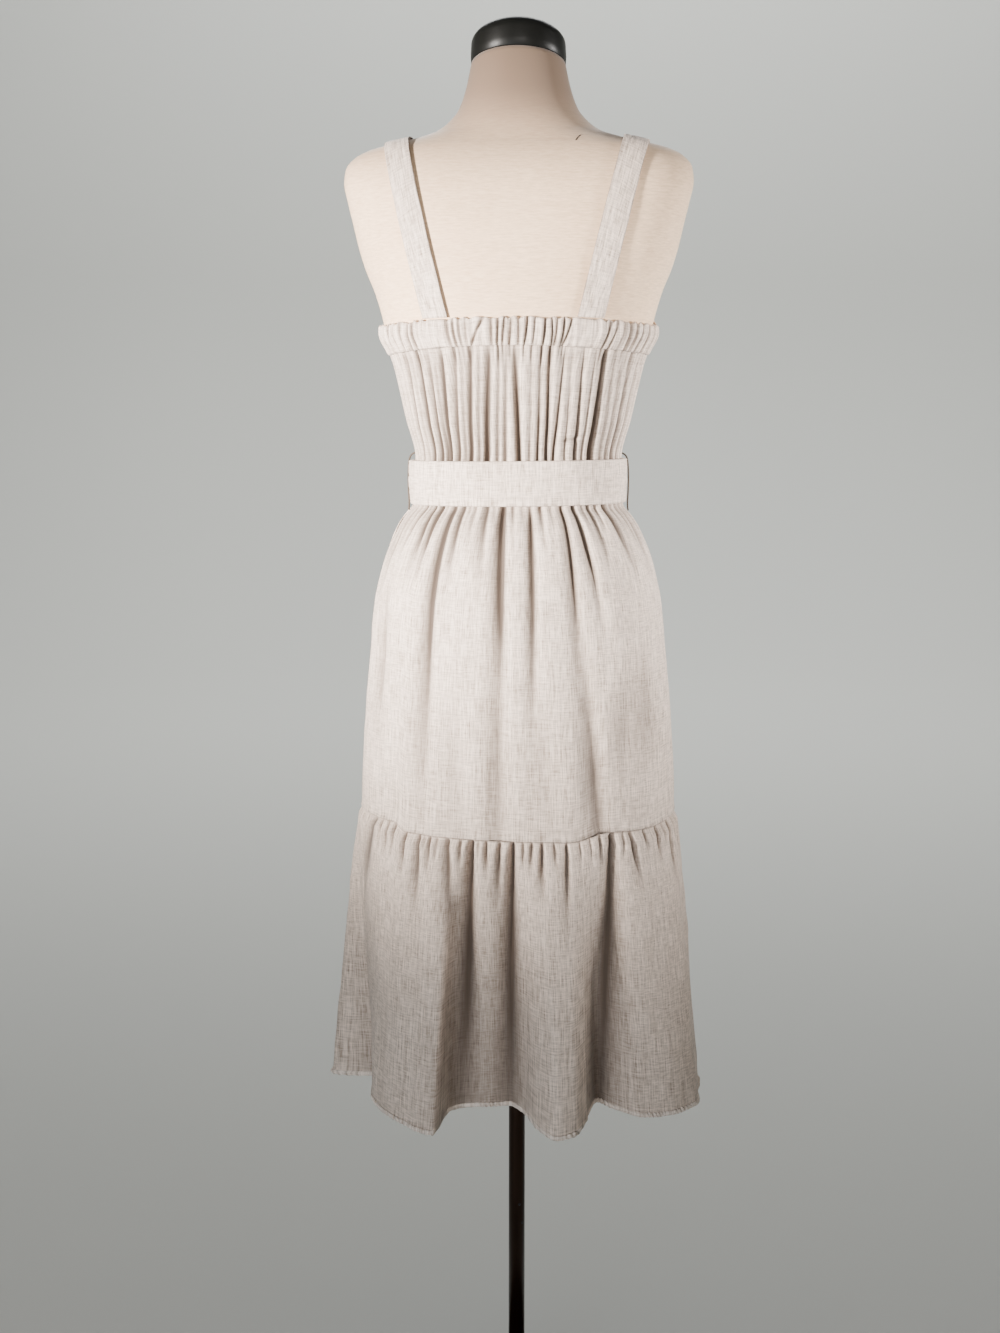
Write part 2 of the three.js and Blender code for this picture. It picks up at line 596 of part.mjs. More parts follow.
function formPoint(x, z, backward) {
  const half = readTable(FORM_RINGS, 'z', 'half', z);
  const depth = readTable(FORM_RINGS, 'z', backward > 0 ? 'back' : 'front', z);
  const power = 2 / readTable(FORM_RINGS, 'z', 'square', z);
  const squared = (value) => Math.sign(value) * Math.abs(value) ** power;
  const angle = radToDeg(Math.atan2(x, backward));
  const swell = backward < 0 ? bust(angle, z) * Math.hypot(x, backward) : 0;
  const y = swell - squared(backward) * depth;
  const tilt = NECK_TILT * smoothstep(z, 1600, NECK_TOP);
  return new THREE.Vector3(squared(x) * half, y, z - y * tilt);
}

const formProfile = FORM_RINGS.map((ring) => [1, ring.z]);
addPart('form_torso', roundSolid([[0, FORM_BOTTOM], ...formProfile, [0, NECK_TOP]], 34, formPoint), FORM_COVER);

// Domed cap that closes the neck
function capPoint(x, z, backward) {
  const neck = FORM_RINGS[FORM_RINGS.length - 1];
  const depth = backward > 0 ? neck.back : neck.front;
  const y = -backward * depth;
  return new THREE.Vector3(x * neck.half, y, NECK_TOP + SEAM_GAP + z - y * NECK_TILT);
}

const capProfile = [[0, 0], [1, 0], [1.012, CAP_BAND * 0.4], [0.99, CAP_BAND]];
for (let i = 1; i <= 5; i += 1) {
  const turn = (i / 5) * (Math.PI / 2);
  capProfile.push([0.99 * Math.cos(turn), CAP_BAND + CAP_DOME * Math.sin(turn)]);
}
capProfile[capProfile.length - 1][0] = 0;
addPart('form_neck_cap', roundSolid(capProfile, 28, capPoint), DARK_GLOSS);

// Stand: collar under the form, pole and base disc
const upright = (x, z, backward) => new THREE.Vector3(x, -backward, z);
const collarTop = FORM_BOTTOM - SEAM_GAP;
const collarBottom = collarTop - COLLAR_HEIGHT;
const poleTop = collarBottom - SEAM_GAP;
const poleBottom = BASE_HEIGHT + SEAM_GAP;
addPart('stand_collar', roundSolid([
  [0, collarBottom],
  [COLLAR_RADIUS * 0.7, collarBottom],
  [COLLAR_RADIUS, collarBottom + COLLAR_HEIGHT * 0.5],
  [COLLAR_RADIUS, collarTop],
  [0, collarTop],
], 24, upright), DARK_METAL);
addPart('stand_pole', roundSolid([
  [0, poleBottom],
  [POLE_RADIUS, poleBottom],
  [POLE_RADIUS, poleTop],
  [0, poleTop],
], 24, upright), DARK_METAL);
addPart('stand_base', roundSolid([
  [0, 0],
  [BASE_RADIUS - 2, 0],
  [BASE_RADIUS, 2],
  [BASE_RADIUS, 7],
  [BASE_RADIUS - 3, 10],
  [40, 14],
  [24, BASE_HEIGHT],
  [0, BASE_HEIGHT],
], 40, upright), DARK_METAL);

export default dress;
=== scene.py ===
import math

import bmesh
import bpy
from mathutils import Matrix, Vector, noise


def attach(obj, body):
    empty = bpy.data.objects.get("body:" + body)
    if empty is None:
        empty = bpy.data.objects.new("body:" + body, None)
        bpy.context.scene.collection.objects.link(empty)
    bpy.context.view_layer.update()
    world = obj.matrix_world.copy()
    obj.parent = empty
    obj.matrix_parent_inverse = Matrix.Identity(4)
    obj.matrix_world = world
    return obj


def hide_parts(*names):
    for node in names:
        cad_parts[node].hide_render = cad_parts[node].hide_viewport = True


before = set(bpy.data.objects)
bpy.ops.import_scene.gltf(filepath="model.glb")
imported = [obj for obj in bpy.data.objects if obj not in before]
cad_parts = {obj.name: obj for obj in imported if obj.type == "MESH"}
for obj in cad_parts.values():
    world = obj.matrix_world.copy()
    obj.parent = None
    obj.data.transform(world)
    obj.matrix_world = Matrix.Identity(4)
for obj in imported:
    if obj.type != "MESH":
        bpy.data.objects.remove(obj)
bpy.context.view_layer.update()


# Camera
# The photograph was taken from behind the dress at about chest height, two metres away,
# looking slightly down and from a little to the right of the dress's own centre line.
CAMERA_DISTANCE = 2.0
CAMERA_HEIGHT = 1.27
CAMERA_SIDE = -0.0209
CAMERA_TURN = math.radians(4.5)
CAMERA_PITCH = math.radians(8.58)
CAMERA_LENS = 45.9
CAMERA_SENSOR = 36

camera_data = bpy.data.cameras.new("camera")
camera_data.lens = CAMERA_LENS
camera_data.sensor_width = CAMERA_SENSOR
camera = bpy.data.objects.new("camera", camera_data)
bpy.context.scene.collection.objects.link(camera)
camera.location = (
    CAMERA_SIDE * math.cos(CAMERA_TURN) + CAMERA_DISTANCE * math.sin(CAMERA_TURN),
    CAMERA_SIDE * math.sin(CAMERA_TURN) - CAMERA_DISTANCE * math.cos(CAMERA_TURN),
    CAMERA_HEIGHT,
)
camera.rotation_euler = (math.pi / 2 - CAMERA_PITCH, 0, CAMERA_TURN)
bpy.context.scene.camera = camera


# Studio
# A plain pale floor that curves up into a far wall all round. A strong soft light stands on
# the left and a weaker one on the right. Others fill the back and the hem and wash the wall.
FLOOR_RADIUS = 6.0
WALL_RADIUS = 8.0
WALL_HEIGHT = 7.0
BEND_STEPS = 12
WARM_LIGHT = (1, 0.95, 0.905)
SOFT_LIGHT = (1, 0.97, 0.955)
FILL_LIGHT = (1, 0.965, 0.935)
COOL_LIGHT = (0.83, 0.91, 1)
PALE_LIGHT = (0.85, 0.92, 1)
WALL_LIGHT = (0.98, 1, 0.99)


def placed(name, mesh):
    mesh.shade_smooth()
    piece = bpy.data.objects.new(name, mesh)
    bpy.context.scene.collection.objects.link(piece)
    return piece


def new_piece(name, bm):
    mesh = bpy.data.meshes.new(name)
    bm.to_mesh(mesh)
    bm.free()
    return placed(name, mesh)


def spun(profile, steps):
    """A bmesh spun round the Z axis from a profile of (radius, height) pairs."""
    bm = bmesh.new()
    verts = [bm.verts.new((radius, 0, height)) for radius, height in profile]
    edges = [bm.edges.new(pair) for pair in zip(verts, verts[1:])]
    bmesh.ops.spin(bm, geom=verts + edges, cent=(0, 0, 0), axis=(0, 0, 1), dvec=(0, 0, 0),
                   angle=2 * math.pi, steps=steps, use_merge=True)
    bmesh.ops.remove_doubles(bm, verts=bm.verts, dist=1e-6)
    bmesh.ops.recalc_face_normals(bm, faces=bm.faces)
    return bm


def plain_material(name, color, roughness):
    material = bpy.data.materials.new(name)
    material.use_nodes = True
    shader = material.node_tree.nodes["Principled BSDF"]
    shader.inputs["Base Color"].default_value = (*color, 1)
    shader.inputs["Roughness"].default_value = roughness
    return material


def add_studio():
    rise = WALL_RADIUS - FLOOR_RADIUS
    profile = [(0, 0), (FLOOR_RADIUS, 0)]
    for i in range(1, BEND_STEPS + 1):
        turn = math.pi / 2 * i / BEND_STEPS
        profile.append((FLOOR_RADIUS + rise * math.sin(turn), rise * (1 - math.cos(turn))))
    profile.append((WALL_RADIUS, WALL_HEIGHT))
    bm = spun(profile, 96)
    bmesh.ops.reverse_faces(bm, faces=bm.faces)
    floor = new_piece("studio_floor", bm)
    floor.data.materials.append(plain_material("pale_floor", (0.63, 0.63, 0.6), 0.9))


def add_light(data, place, target, power, color):
    data.energy = power
    data.color = color
    light = bpy.data.objects.new(data.name, data)
    light.location = place
    light.rotation_euler = (Vector(target) - Vector(place)).to_track_quat("-Z", "Y").to_euler()
    bpy.context.scene.collection.objects.link(light)


def area_light(name, place, target, size, power, color):
    data = bpy.data.lights.new(name, "AREA")
    data.shape = "SQUARE"
    data.size = size
    add_light(data, place, target, power, color)


def spot_light(name, place, target, radius, spread, power, color):
    data = bpy.data.lights.new(name, "SPOT")
    data.shadow_soft_size = radius
    data.spot_size = math.radians(spread)
    data.spot_blend = 1
    add_light(data, place, target, power, color)


add_studio()
spot_light("left_softbox", (-2.0, -1.75, 1.25), (0, 0, 1.24), 0.16, 26, 1880, WARM_LIGHT)
spot_light("right_softbox", (2.6, -0.3, 1.2), (0, 0, 1.24), 0.3, 27, 720, SOFT_LIGHT)
spot_light("front_fill", (0.5, -3.1, 1.3), (0, 0, 1.17), 0.5, 22, 335, FILL_LIGHT)
spot_light("hem_fill", (-0.9, -2.9, 0.6), (0, 0, 0.48), 0.4, 17, 200, COOL_LIGHT)
area_light("low_fill", (-0.8, -2.8, 0.9), (0, 0, 0.7), 1.2, 10, PALE_LIGHT)
area_light("wall_wash", (0, 4.8, 5.2), (0, 6.6, 0.6), 4.5, 340, WALL_LIGHT)
world = bpy.data.worlds.new("studio_air")
world.use_nodes = True
world.node_tree.nodes["Background"].inputs["Color"].default_value = (0.94, 0.97, 1, 1)
world.node_tree.nodes["Background"].inputs["Strength"].default_value = 0.13
bpy.context.scene.world = world


# Stand
# A round steel base disc, a straight tube on it and a small collar that the form sits on.
# They are turned and welded steel with a dark bronze lacquer, hazed where hands slide it.
BASE_RADIUS = 0.150
BASE_TOP = 0.016
POLE_RADIUS = 0.010
FORM_BOTTOM = 0.960
COLLAR_RADIUS = 0.033
COLLAR_HEIGHT = 0.010
EDGE_ROUND = 0.003
PIN_RADIUS = 0.0017
PIN_RISE = 0.0007
SEAM_GAP = 0.0003
LACQUER_DEEP = (0.010, 0.0035, 0.0012)
LACQUER_WORN = (0.035, 0.014, 0.005)


def link(tree, source, target):
    tree.links.new(source, target)


def stretched(tree, coords, scale, shift=(0, 0, 0)):
    """Coordinates that are scaled and shifted for a pattern."""
    mapping = tree.nodes.new("ShaderNodeMapping")
    mapping.inputs["Scale"].default_value = scale
    mapping.inputs["Location"].default_value = shift
    link(tree, coords, mapping.inputs["Vector"])
    return mapping.outputs["Vector"]


def clouded(tree, coords, scale, detail, roughness=0.5):
    """Strength of an uneven, cloudy pattern."""
    cloud = tree.nodes.new("ShaderNodeTexNoise")
    cloud.inputs["Scale"].default_value = scale
    cloud.inputs["Detail"].default_value = detail
    cloud.inputs["Roughness"].default_value = roughness
    link(tree, coords, cloud.inputs["Vector"])
    return cloud.outputs["Fac"]


def tinted(tree, strength, low, high, low_place=0, high_place=1):
    """Colour that runs from low to high with a pattern's strength."""
    tint = tree.nodes.new("ShaderNodeValToRGB")
    for element, color, place in zip(tint.color_ramp.elements, (low, high), (low_place, high_place)):
        element.color = (*color, 1)
        element.position = place
    link(tree, strength, tint.inputs["Fac"])
    return tint.outputs["Color"]


def vary_gloss(tree, shader, strength, low, high):
    gloss = tree.nodes.new("ShaderNodeMapRange")
    gloss.inputs["To Min"].default_value = low
    gloss.inputs["To Max"].default_value = high
    link(tree, strength, gloss.inputs["Value"])
    link(tree, gloss.outputs["Result"], shader.inputs["Roughness"])


def lacquer_material():
    material = plain_material("bronze_lacquer", (0.03, 0.018, 0.012), 0.3)
    tree = material.node_tree
    shader = tree.nodes["Principled BSDF"]
    shader.inputs["Metallic"].default_value = 0.75
    shader.inputs["Coat Weight"].default_value = 0.15
    shader.inputs["Coat Roughness"].default_value = 0.2
    coords = tree.nodes.new("ShaderNodeTexCoord").outputs["Object"]
    haze = clouded(tree, stretched(tree, coords, (60, 60, 4)), 2.5, 6)
    tint = tinted(tree, haze, LACQUER_DEEP, LACQUER_WORN)
    link(tree, tint, shader.inputs["Base Color"])
    vary_gloss(tree, shader, haze, 0.22, 0.42)
    return material


stand_lacquer = lacquer_material()


def finish_piece(piece, material, slot, *nodes):
    piece.data.materials.append(material)
    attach(piece, "root")
    if nodes:
        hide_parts(*nodes)
    return piece


def rounded_corner(center, radius, start, steps=5):
    """Points of a quarter round in a spin profile, from the start angle on by 90 degrees."""
    points = []
    for i in range(steps + 1):
        turn = math.radians(start + 90 * i / steps)
        points.append((center[0] + radius * math.cos(turn), center[1] + radius * math.sin(turn)))
    return points


base_profile = [(0, 0), (BASE_RADIUS - 0.002, 0), (BASE_RADIUS, 0.002)]
base_profile += rounded_corner((BASE_RADIUS - EDGE_ROUND, 0.007), EDGE_ROUND, 0)
base_profile += [(0.09, 0.0118), (0.04, 0.0138), (0.028, 0.0146), (0.024, BASE_TOP), (0, BASE_TOP)]
finish_piece(new_piece("base_disc", spun(base_profile, 128)), stand_lacquer, "stand_metal",
             "stand_base")

collar_top = FORM_BOTTOM - SEAM_GAP
collar_bottom = collar_top - COLLAR_HEIGHT
pole_profile = [(0, BASE_TOP + SEAM_GAP), (POLE_RADIUS, BASE_TOP + SEAM_GAP)]
pole_profile += [(POLE_RADIUS, 0.3), (POLE_RADIUS, 0.6), (POLE_RADIUS, collar_bottom - SEAM_GAP)]
pole_profile += [(0, collar_bottom - SEAM_GAP)]
finish_piece(new_piece("pole_tube", spun(pole_profile, 64)), stand_lacquer, "stand_metal",
             "stand_pole")

# Two small pins, one a little round from the other, where the tube's height is held. Their near-black
# colour is painted shade for the dark inside of the height holes.
POLE_PINS = [dict(turn=24, z=0.293), dict(turn=47, z=0.268)]
pins = bmesh.new()
for pin in POLE_PINS:
    turn = Matrix.Rotation(math.radians(pin["turn"]), 4, "Z")
    place = turn @ Matrix.Translation((0, -POLE_RADIUS, pin["z"]))
    place @= Matrix.Diagonal((PIN_RADIUS, PIN_RISE, PIN_RADIUS, 1))
    bmesh.ops.create_uvsphere(pins, u_segments=20, v_segments=10, radius=1, matrix=place)
pin_hole_painted_shade = plain_material("pin_hole_painted_shade", (0.004, 0.003, 0.003), 0.5)
finish_piece(new_piece("pole_pins", pins), pin_hole_painted_shade, "stand_metal")

collar_profile = [(0, collar_bottom), (COLLAR_RADIUS * 0.7, collar_bottom)]
collar_edge = (COLLAR_RADIUS - EDGE_ROUND, collar_bottom + 0.005)
collar_profile += rounded_corner(collar_edge, EDGE_ROUND, -90)
collar_profile += [(COLLAR_RADIUS, collar_top), (0, collar_top)]
finish_piece(new_piece("form_collar", spun(collar_profile, 64)), stand_lacquer, "stand_metal",
             "stand_collar")


# Form
# A limbless torso of moulded foam with rounded shoulders, under a stretched cream cover of
# fine slubbed cotton that is drawn smooth and closed at the neck and underneath.
NECK_TOP = 1.654
NECK_TILT = math.tan(math.radians(15))
BUST_HEIGHT = 1.325
BUST_SPREAD = 0.038
BUST_ANGLE = 27
BUST_WIDTH = 15
BUST_SWELL = 0.009
TILT_START = 1.6
# Heights between which painted shade darkens the cover towards the neck
NECK_SHADE_FROM = 1.50
NECK_SHADE_TO = 1.63
COVER_CREAM = (0.91, 0.655, 0.43)
COVER_SLUB = (0.66, 0.44, 0.27)
# Colour of the painted shade at the neck
COVER_NECK_SHADE = (0.20, 0.13, 0.085)
THREAD_RADIUS = 0.0007


def table(columns, rows):
    """Rows of numbers that are read by column name. A row may leave out its last columns."""
    names = columns.split()
    return [dict(zip(names, row)) for row in rows]


FORM_RINGS = table("z half front back square", [
    (0.960, 0.132, 0.082, 0.090, 2), (0.968, 0.143, 0.092, 0.100, 2), (1.000, 0.150, 0.100, 0.106, 2),
    (1.045, 0.148, 0.099, 0.107, 2), (1.085, 0.140, 0.094, 0.098, 2), (1.115, 0.130, 0.089, 0.089, 2),
    (1.140, 0.120, 0.085, 0.081, 2), (1.163, 0.111, 0.081, 0.076, 2), (1.188, 0.108, 0.079, 0.074, 2),
    (1.215, 0.1085, 0.083, 0.077, 2), (1.250, 0.117, 0.094, 0.083, 2), (1.285, 0.1255, 0.104, 0.088, 2),
    (1.313, 0.132, 0.110, 0.093, 2), (1.337, 0.141, 0.112, 0.098, 2), (1.356, 0.152, 0.109, 0.1015, 2),
    (1.381, 0.1585, 0.104, 0.104, 2.02), (1.404, 0.1655, 0.099, 0.105, 2.1),
    (1.429, 0.1755, 0.094, 0.105, 2.2), (1.450, 0.182, 0.090, 0.1035, 2.3),
    (1.480, 0.189, 0.084, 0.099, 2.45), (1.505, 0.195, 0.076, 0.092, 2.55),
    (1.525, 0.199, 0.068, 0.084, 2.6), (1.541, 0.197, 0.062, 0.076, 2.6),
    (1.553, 0.187, 0.057, 0.069, 2.6), (1.561, 0.171, 0.054, 0.064, 2.55),
    (1.567, 0.148, 0.052, 0.060, 2.45), (1.574, 0.118, 0.050, 0.057, 2.3),
    (1.582, 0.094, 0.049, 0.055, 2.15), (1.592, 0.080, 0.049, 0.054, 2.05),
    (1.606, 0.068, 0.048, 0.053, 2), (1.630, 0.059, 0.046, 0.051, 2), (1.654, 0.0535, 0.045, 0.049, 2),
])


def smooth_table(rows, key):
    """A function read(column, place): smooth values between a table's rows, never beyond them."""
    places = [row[key] for row in rows]
    tangents = {}
    for column in rows[0]:
        slopes = [(b[column] - a[column]) / (b[key] - a[key]) for a, b in zip(rows, rows[1:])]
        inner = [0 if s * t <= 0 else 2 * s * t / (s + t) for s, t in zip(slopes, slopes[1:])]
        tangents[column] = [slopes[0], *inner, slopes[-1]]

    def read(column, place):
        if place <= places[0]:
            return rows[0][column]
        if place >= places[-1]:
            return rows[-1][column]
        low, high = 0, len(places) - 1
        while high - low > 1:
            middle = (low + high) // 2
            low, high = (middle, high) if places[middle] <= place else (low, middle)
        step = places[high] - places[low]
        s = (place - places[low]) / step
        start = rows[low][column] * (1 + 2 * s) + step * tangents[column][low] * s
        end = rows[high][column] * (3 - 2 * s) - step * tangents[column][high] * (1 - s)
        return start * (1 - s) ** 2 + end * s * s

    return read


def round_table(rows):
    """The same round the dress, by the angle in the column at, so that its ends meet."""
    turns = [{**row, "at": row["at"] + turn} for turn in (-360, 0, 360) for row in rows]
    return smooth_table(turns, "at")


def smoothstep(value, low, high):
    s = min(max((value - low) / (high - low), 0), 1)
    return s * s * (3 - 2 * s)


def bell(distance):
    return math.exp(-distance * distance) if abs(distance) < 4 else 0


def bust(angle, z):
    side = abs(abs(angle) - 180)
    across = bell((side - BUST_ANGLE) / BUST_WIDTH)
    return BUST_SWELL * across * bell((z - BUST_HEIGHT) / BUST_SPREAD)


read_form = smooth_table(FORM_RINGS, "z")


def form_point(x, backward, z):
    """Point of the form's cover, where x and backward lie on the unit circle or inside it."""
    power = 2 / read_form("square", z)
    depth = read_form("back" if backward > 0 else "front", z)
    swell = 0
    if backward < 0:
        swell = bust(math.degrees(math.atan2(x, backward)), z) * math.hypot(x, backward)
    y = swell - math.copysign(abs(backward) ** power, backward) * depth
    tilt = NECK_TILT * smoothstep(z, TILT_START, NECK_TOP)
    return Vector((math.copysign(abs(x) ** power, x) * read_form("half", z), y, z - y * tilt))


def form_heights():
    heights = []
    for low, high in zip(FORM_RINGS, FORM_RINGS[1:]):
        span = high["z"] - low["z"]
        steps = max(2, round(max(span, abs(high["half"] - low["half"])) / 0.004))
        heights += [low["z"] + span * i / steps for i in range(steps)]
    return heights + [NECK_TOP]


def make_form():
    profile = [(0, FORM_BOTTOM), (0.5, FORM_BOTTOM), *[(1, z) for z in form_heights()]]
    bm = spun([*profile, (0.5, NECK_TOP), (0, NECK_TOP)], 160)
    for vert in bm.verts:
        vert.co = form_point(vert.co.x, -vert.co.y, vert.co.z)
    bmesh.ops.recalc_face_normals(bm, faces=bm.faces)
    return new_piece("form_cover", bm)


def raise_threads(tree, shader, height, strength, distance):
    bump = tree.nodes.new("ShaderNodeBump")
    bump.inputs["Strength"].default_value = strength
    bump.inputs["Distance"].default_value = distance
    link(tree, height, bump.inputs["Height"])
    link(tree, bump.outputs["Normal"], shader.inputs["Normal"])


def woven_cover_material():
    material = plain_material("cream_cotton", (0.8, 0.7, 0.6), 0.85)
    tree = material.node_tree
    shader = tree.nodes["Principled BSDF"]
    shader.inputs["Sheen Weight"].default_value = 0.25
    shader.inputs["Sheen Roughness"].default_value = 0.5
    coords = tree.nodes.new("ShaderNodeTexCoord").outputs["Object"]
    slub = clouded(tree, stretched(tree, coords, (90, 90, 620)), 1, 5, 0.65)
    mix = tree.nodes.new("ShaderNodeMath")
    mix.operation = "MULTIPLY_ADD"
    mix.inputs[1].default_value = 0.3
    link(tree, clouded(tree, coords, 7, 3), mix.inputs[0])
    link(tree, slub, mix.inputs[2])
    cream = tinted(tree, mix.outputs["Value"], COVER_SLUB, COVER_CREAM, 0.40, 0.80)
    # Painted shade: the cover's colour is darkened towards the neck, standing in for the shade that
    # falls there
    place = tree.nodes.new("ShaderNodeSeparateXYZ")
    upward = tree.nodes.new("ShaderNodeMapRange")
    upward.interpolation_type = "SMOOTHSTEP"
    upward.inputs["From Min"].default_value = NECK_SHADE_FROM
    upward.inputs["From Max"].default_value = NECK_SHADE_TO
    upward.inputs["To Max"].default_value = 1
    neck_shade = tree.nodes.new("ShaderNodeMix")
    neck_shade.data_type = "RGBA"
    neck_shade.inputs["B"].default_value = (*COVER_NECK_SHADE, 1)
    link(tree, coords, place.inputs["Vector"])
    link(tree, place.outputs["Z"], upward.inputs["Value"])
    link(tree, upward.outputs["Result"], neck_shade.inputs["Factor"])
    link(tree, cream, neck_shade.inputs["A"])
    link(tree, neck_shade.outputs["Result"], shader.inputs["Base Color"])
    raise_threads(tree, shader, slub, 0.25, 0.0004)
    return material


def thread_piece(name, route, radius):
    """A round thread along a smooth route of points."""
    curve = bpy.data.curves.new(name, "CURVE")
    curve.dimensions = "3D"
    spline = curve.splines.new("NURBS")
    spline.points.add(len(route) - 1)
    for point, place in zip(spline.points, route):
        point.co = (*place, 1)
    spline.use_endpoint_u = True
    spline.order_u = 4
    spline.resolution_u = 12
    curve.bevel_depth = radius
    curve.bevel_resolution = 3
    curve.use_fill_caps = True
    shape = bpy.data.objects.new(name + "_curve", curve)
    mesh = bpy.data.meshes.new_from_object(shape)
    bpy.data.objects.remove(shape)
    return placed(name, mesh)


# A loose end of dark thread that clings to the cover beside the neck, as x and height
LOOSE_THREAD = [(0.0724, 1.5700), (0.0706, 1.5691), (0.0688, 1.5667), (0.0672, 1.5636)]


def loose_thread_route():
    route = []
    for x, z in LOOSE_THREAD:
        across = (x / read_form("half", z)) ** (read_form("square", z) / 2)
        route.append(form_point(across, math.sqrt(1 - across * across), z))
    return route


cover_cotton = woven_cover_material()
finish_piece(make_form(), cover_cotton, "form_cover", "form_torso")
dark_thread = plain_material("dark_thread", (0.06, 0.045, 0.035), 0.8)
loose_thread = thread_piece("loose_thread", loose_thread_route(), THREAD_RADIUS)
finish_piece(loose_thread, dark_thread, "form_cover")


# Neck cap
# A moulded cap, dark and polished, that closes the slanting top of the neck over the
# gathered edge of the cover. Its band stands upright and its top is softly domed.
CAP_BAND = 0.021
CAP_DOME = 0.021
CAP_BULGE = 1.012
DOME_STEPS = 14


def make_cap():
    neck = FORM_RINGS[-1]
    profile = [(0, 0), (0.985, 0), (1.0, 0.0012), (CAP_BULGE, CAP_BAND * 0.45), (1.0, CAP_BAND)]
    for i in range(1, DOME_STEPS + 1):
        turn = math.pi / 2 * i / DOME_STEPS
        profile.append((math.cos(turn) ** 0.8, CAP_BAND + CAP_DOME * math.sin(turn)))
    profile[-1] = (0, CAP_BAND + CAP_DOME)
    bm = spun(profile, 96)
    for vert in bm.verts:
        depth = neck["back"] if vert.co.y < 0 else neck["front"]
        y = vert.co.y * depth
        vert.co = (vert.co.x * neck["half"], y, NECK_TOP + SEAM_GAP + vert.co.z - y * NECK_TILT)
    bmesh.ops.recalc_face_normals(bm, faces=bm.faces)
    return new_piece("neck_cap", bm)


def cap_material():
    material = plain_material("polished_cap", (0.009, 0.009, 0.008), 0.3)
    tree = material.node_tree
    shader = tree.nodes["Principled BSDF"]
    shader.inputs["Specular IOR Level"].default_value = 0.18
    coords = tree.nodes.new("ShaderNodeTexCoord").outputs["Object"]
    vary_gloss(tree, shader, clouded(tree, coords, 160, 8), 0.3, 0.42)
    return material


finish_piece(make_cap(), cap_material(), "cap_gloss", "form_neck_cap")


# Back bodice
# The upper back is one width of oatmeal linen, gathered by the elastic above it and into
# the waist seam below, so that it hangs in many narrow upright folds.
WAIST_HEIGHT = 1.188
BELT_TOP = 1.2135
CASING_BOTTOM = 1.341
CASING_TOP = 1.371
CLOTH_THICKNESS = 0.0012
SIDE_EDGE = 89.9
BODICE_PUFF = 0.0026
TUCK_ANGLE = 31
TUCK_HEIGHT = 1.237
TUCK_DEPTH = 0.0022
TUCK_SLANT = 0.0003

CLOTH_RINGS = table("z half front back", [
    (0.440, 0.223, 0.151, 0.140), (0.500, 0.219, 0.148, 0.139), (0.605, 0.211, 0.145, 0.138),
    (0.685, 0.204, 0.142, 0.137), (0.791, 0.188, 0.136, 0.135), (0.838, 0.186, 0.132, 0.133),
    (0.913, 0.182, 0.128, 0.130), (0.988, 0.175, 0.124, 0.127), (1.021, 0.172, 0.122, 0.125),
    (1.051, 0.168, 0.119, 0.122), (1.077, 0.161, 0.116, 0.117), (1.108, 0.151, 0.112, 0.109),
    (1.134, 0.140, 0.106, 0.101), (1.150, 0.131, 0.100, 0.095), (1.162, 0.123, 0.094, 0.0895),
    (1.188, 0.1236, 0.0935, 0.090), (1.215, 0.118, 0.0935, 0.0885), (1.257, 0.128, 0.105, 0.0935),
    (1.288, 0.135, 0.114, 0.098), (1.313, 0.141, 0.119, 0.102), (1.337, 0.150, 0.120, 0.106),
    (1.356, 0.1585, 0.115, 0.1058), (1.371, 0.160, 0.1105, 0.1066), (1.410, 0.171, 0.1015, 0.110),
])

BODICE_FOLDS = table("top low depth width", [
    (-80, -83, 3.0, 2.4), (-72, -75, 3.5, 2.2), (-65, -70, 2.6, 1.6), (-58, -63.6, 6.5, 2.2),
    (-53, -57, 2.4, 1.3), (-48, -51.5, 7.5, 2.0), (-41, -44.7, 5.5, 1.7), (-37, -41, 2.2, 1.2),
    (-33, -38.5, 7.5, 1.8), (-25.5, -32.6, 5.0, 1.6), (-22, -28, 2.2, 1.2), (-18, -24.7, 6.5, 1.7),
    (-13.7, -19.5, 2.6, 1.3), (-9.5, -14.8, 7.0, 1.9), (-5, -8.5, 3.2, 1.3), (-2, -3.9, 3.6, 1.3),
    (1.6, 4.6, 6.2, 1.5), (8.7, 9.6, 2.6, 1.5), (12.9, 14.2, 4.0, 1.5), (16.8, 19.3, 5.6, 1.4),
    (23.6, 22.8, 4.2, 1.4), (27, 29.8, 2.8, 1.6), (32.5, 36.6, 4.4, 1.6), (38.5, 40.5, 2.8, 1.4),
    (44.5, 47.7, 7.0, 2.0), (50, 55, 2.6, 1.7), (56, 61, 3.0, 1.7), (64, 68.7, 4.4, 2.0),
    (73, 76, 3.0, 2.0), (82, 84, 2.4, 2.0),
])

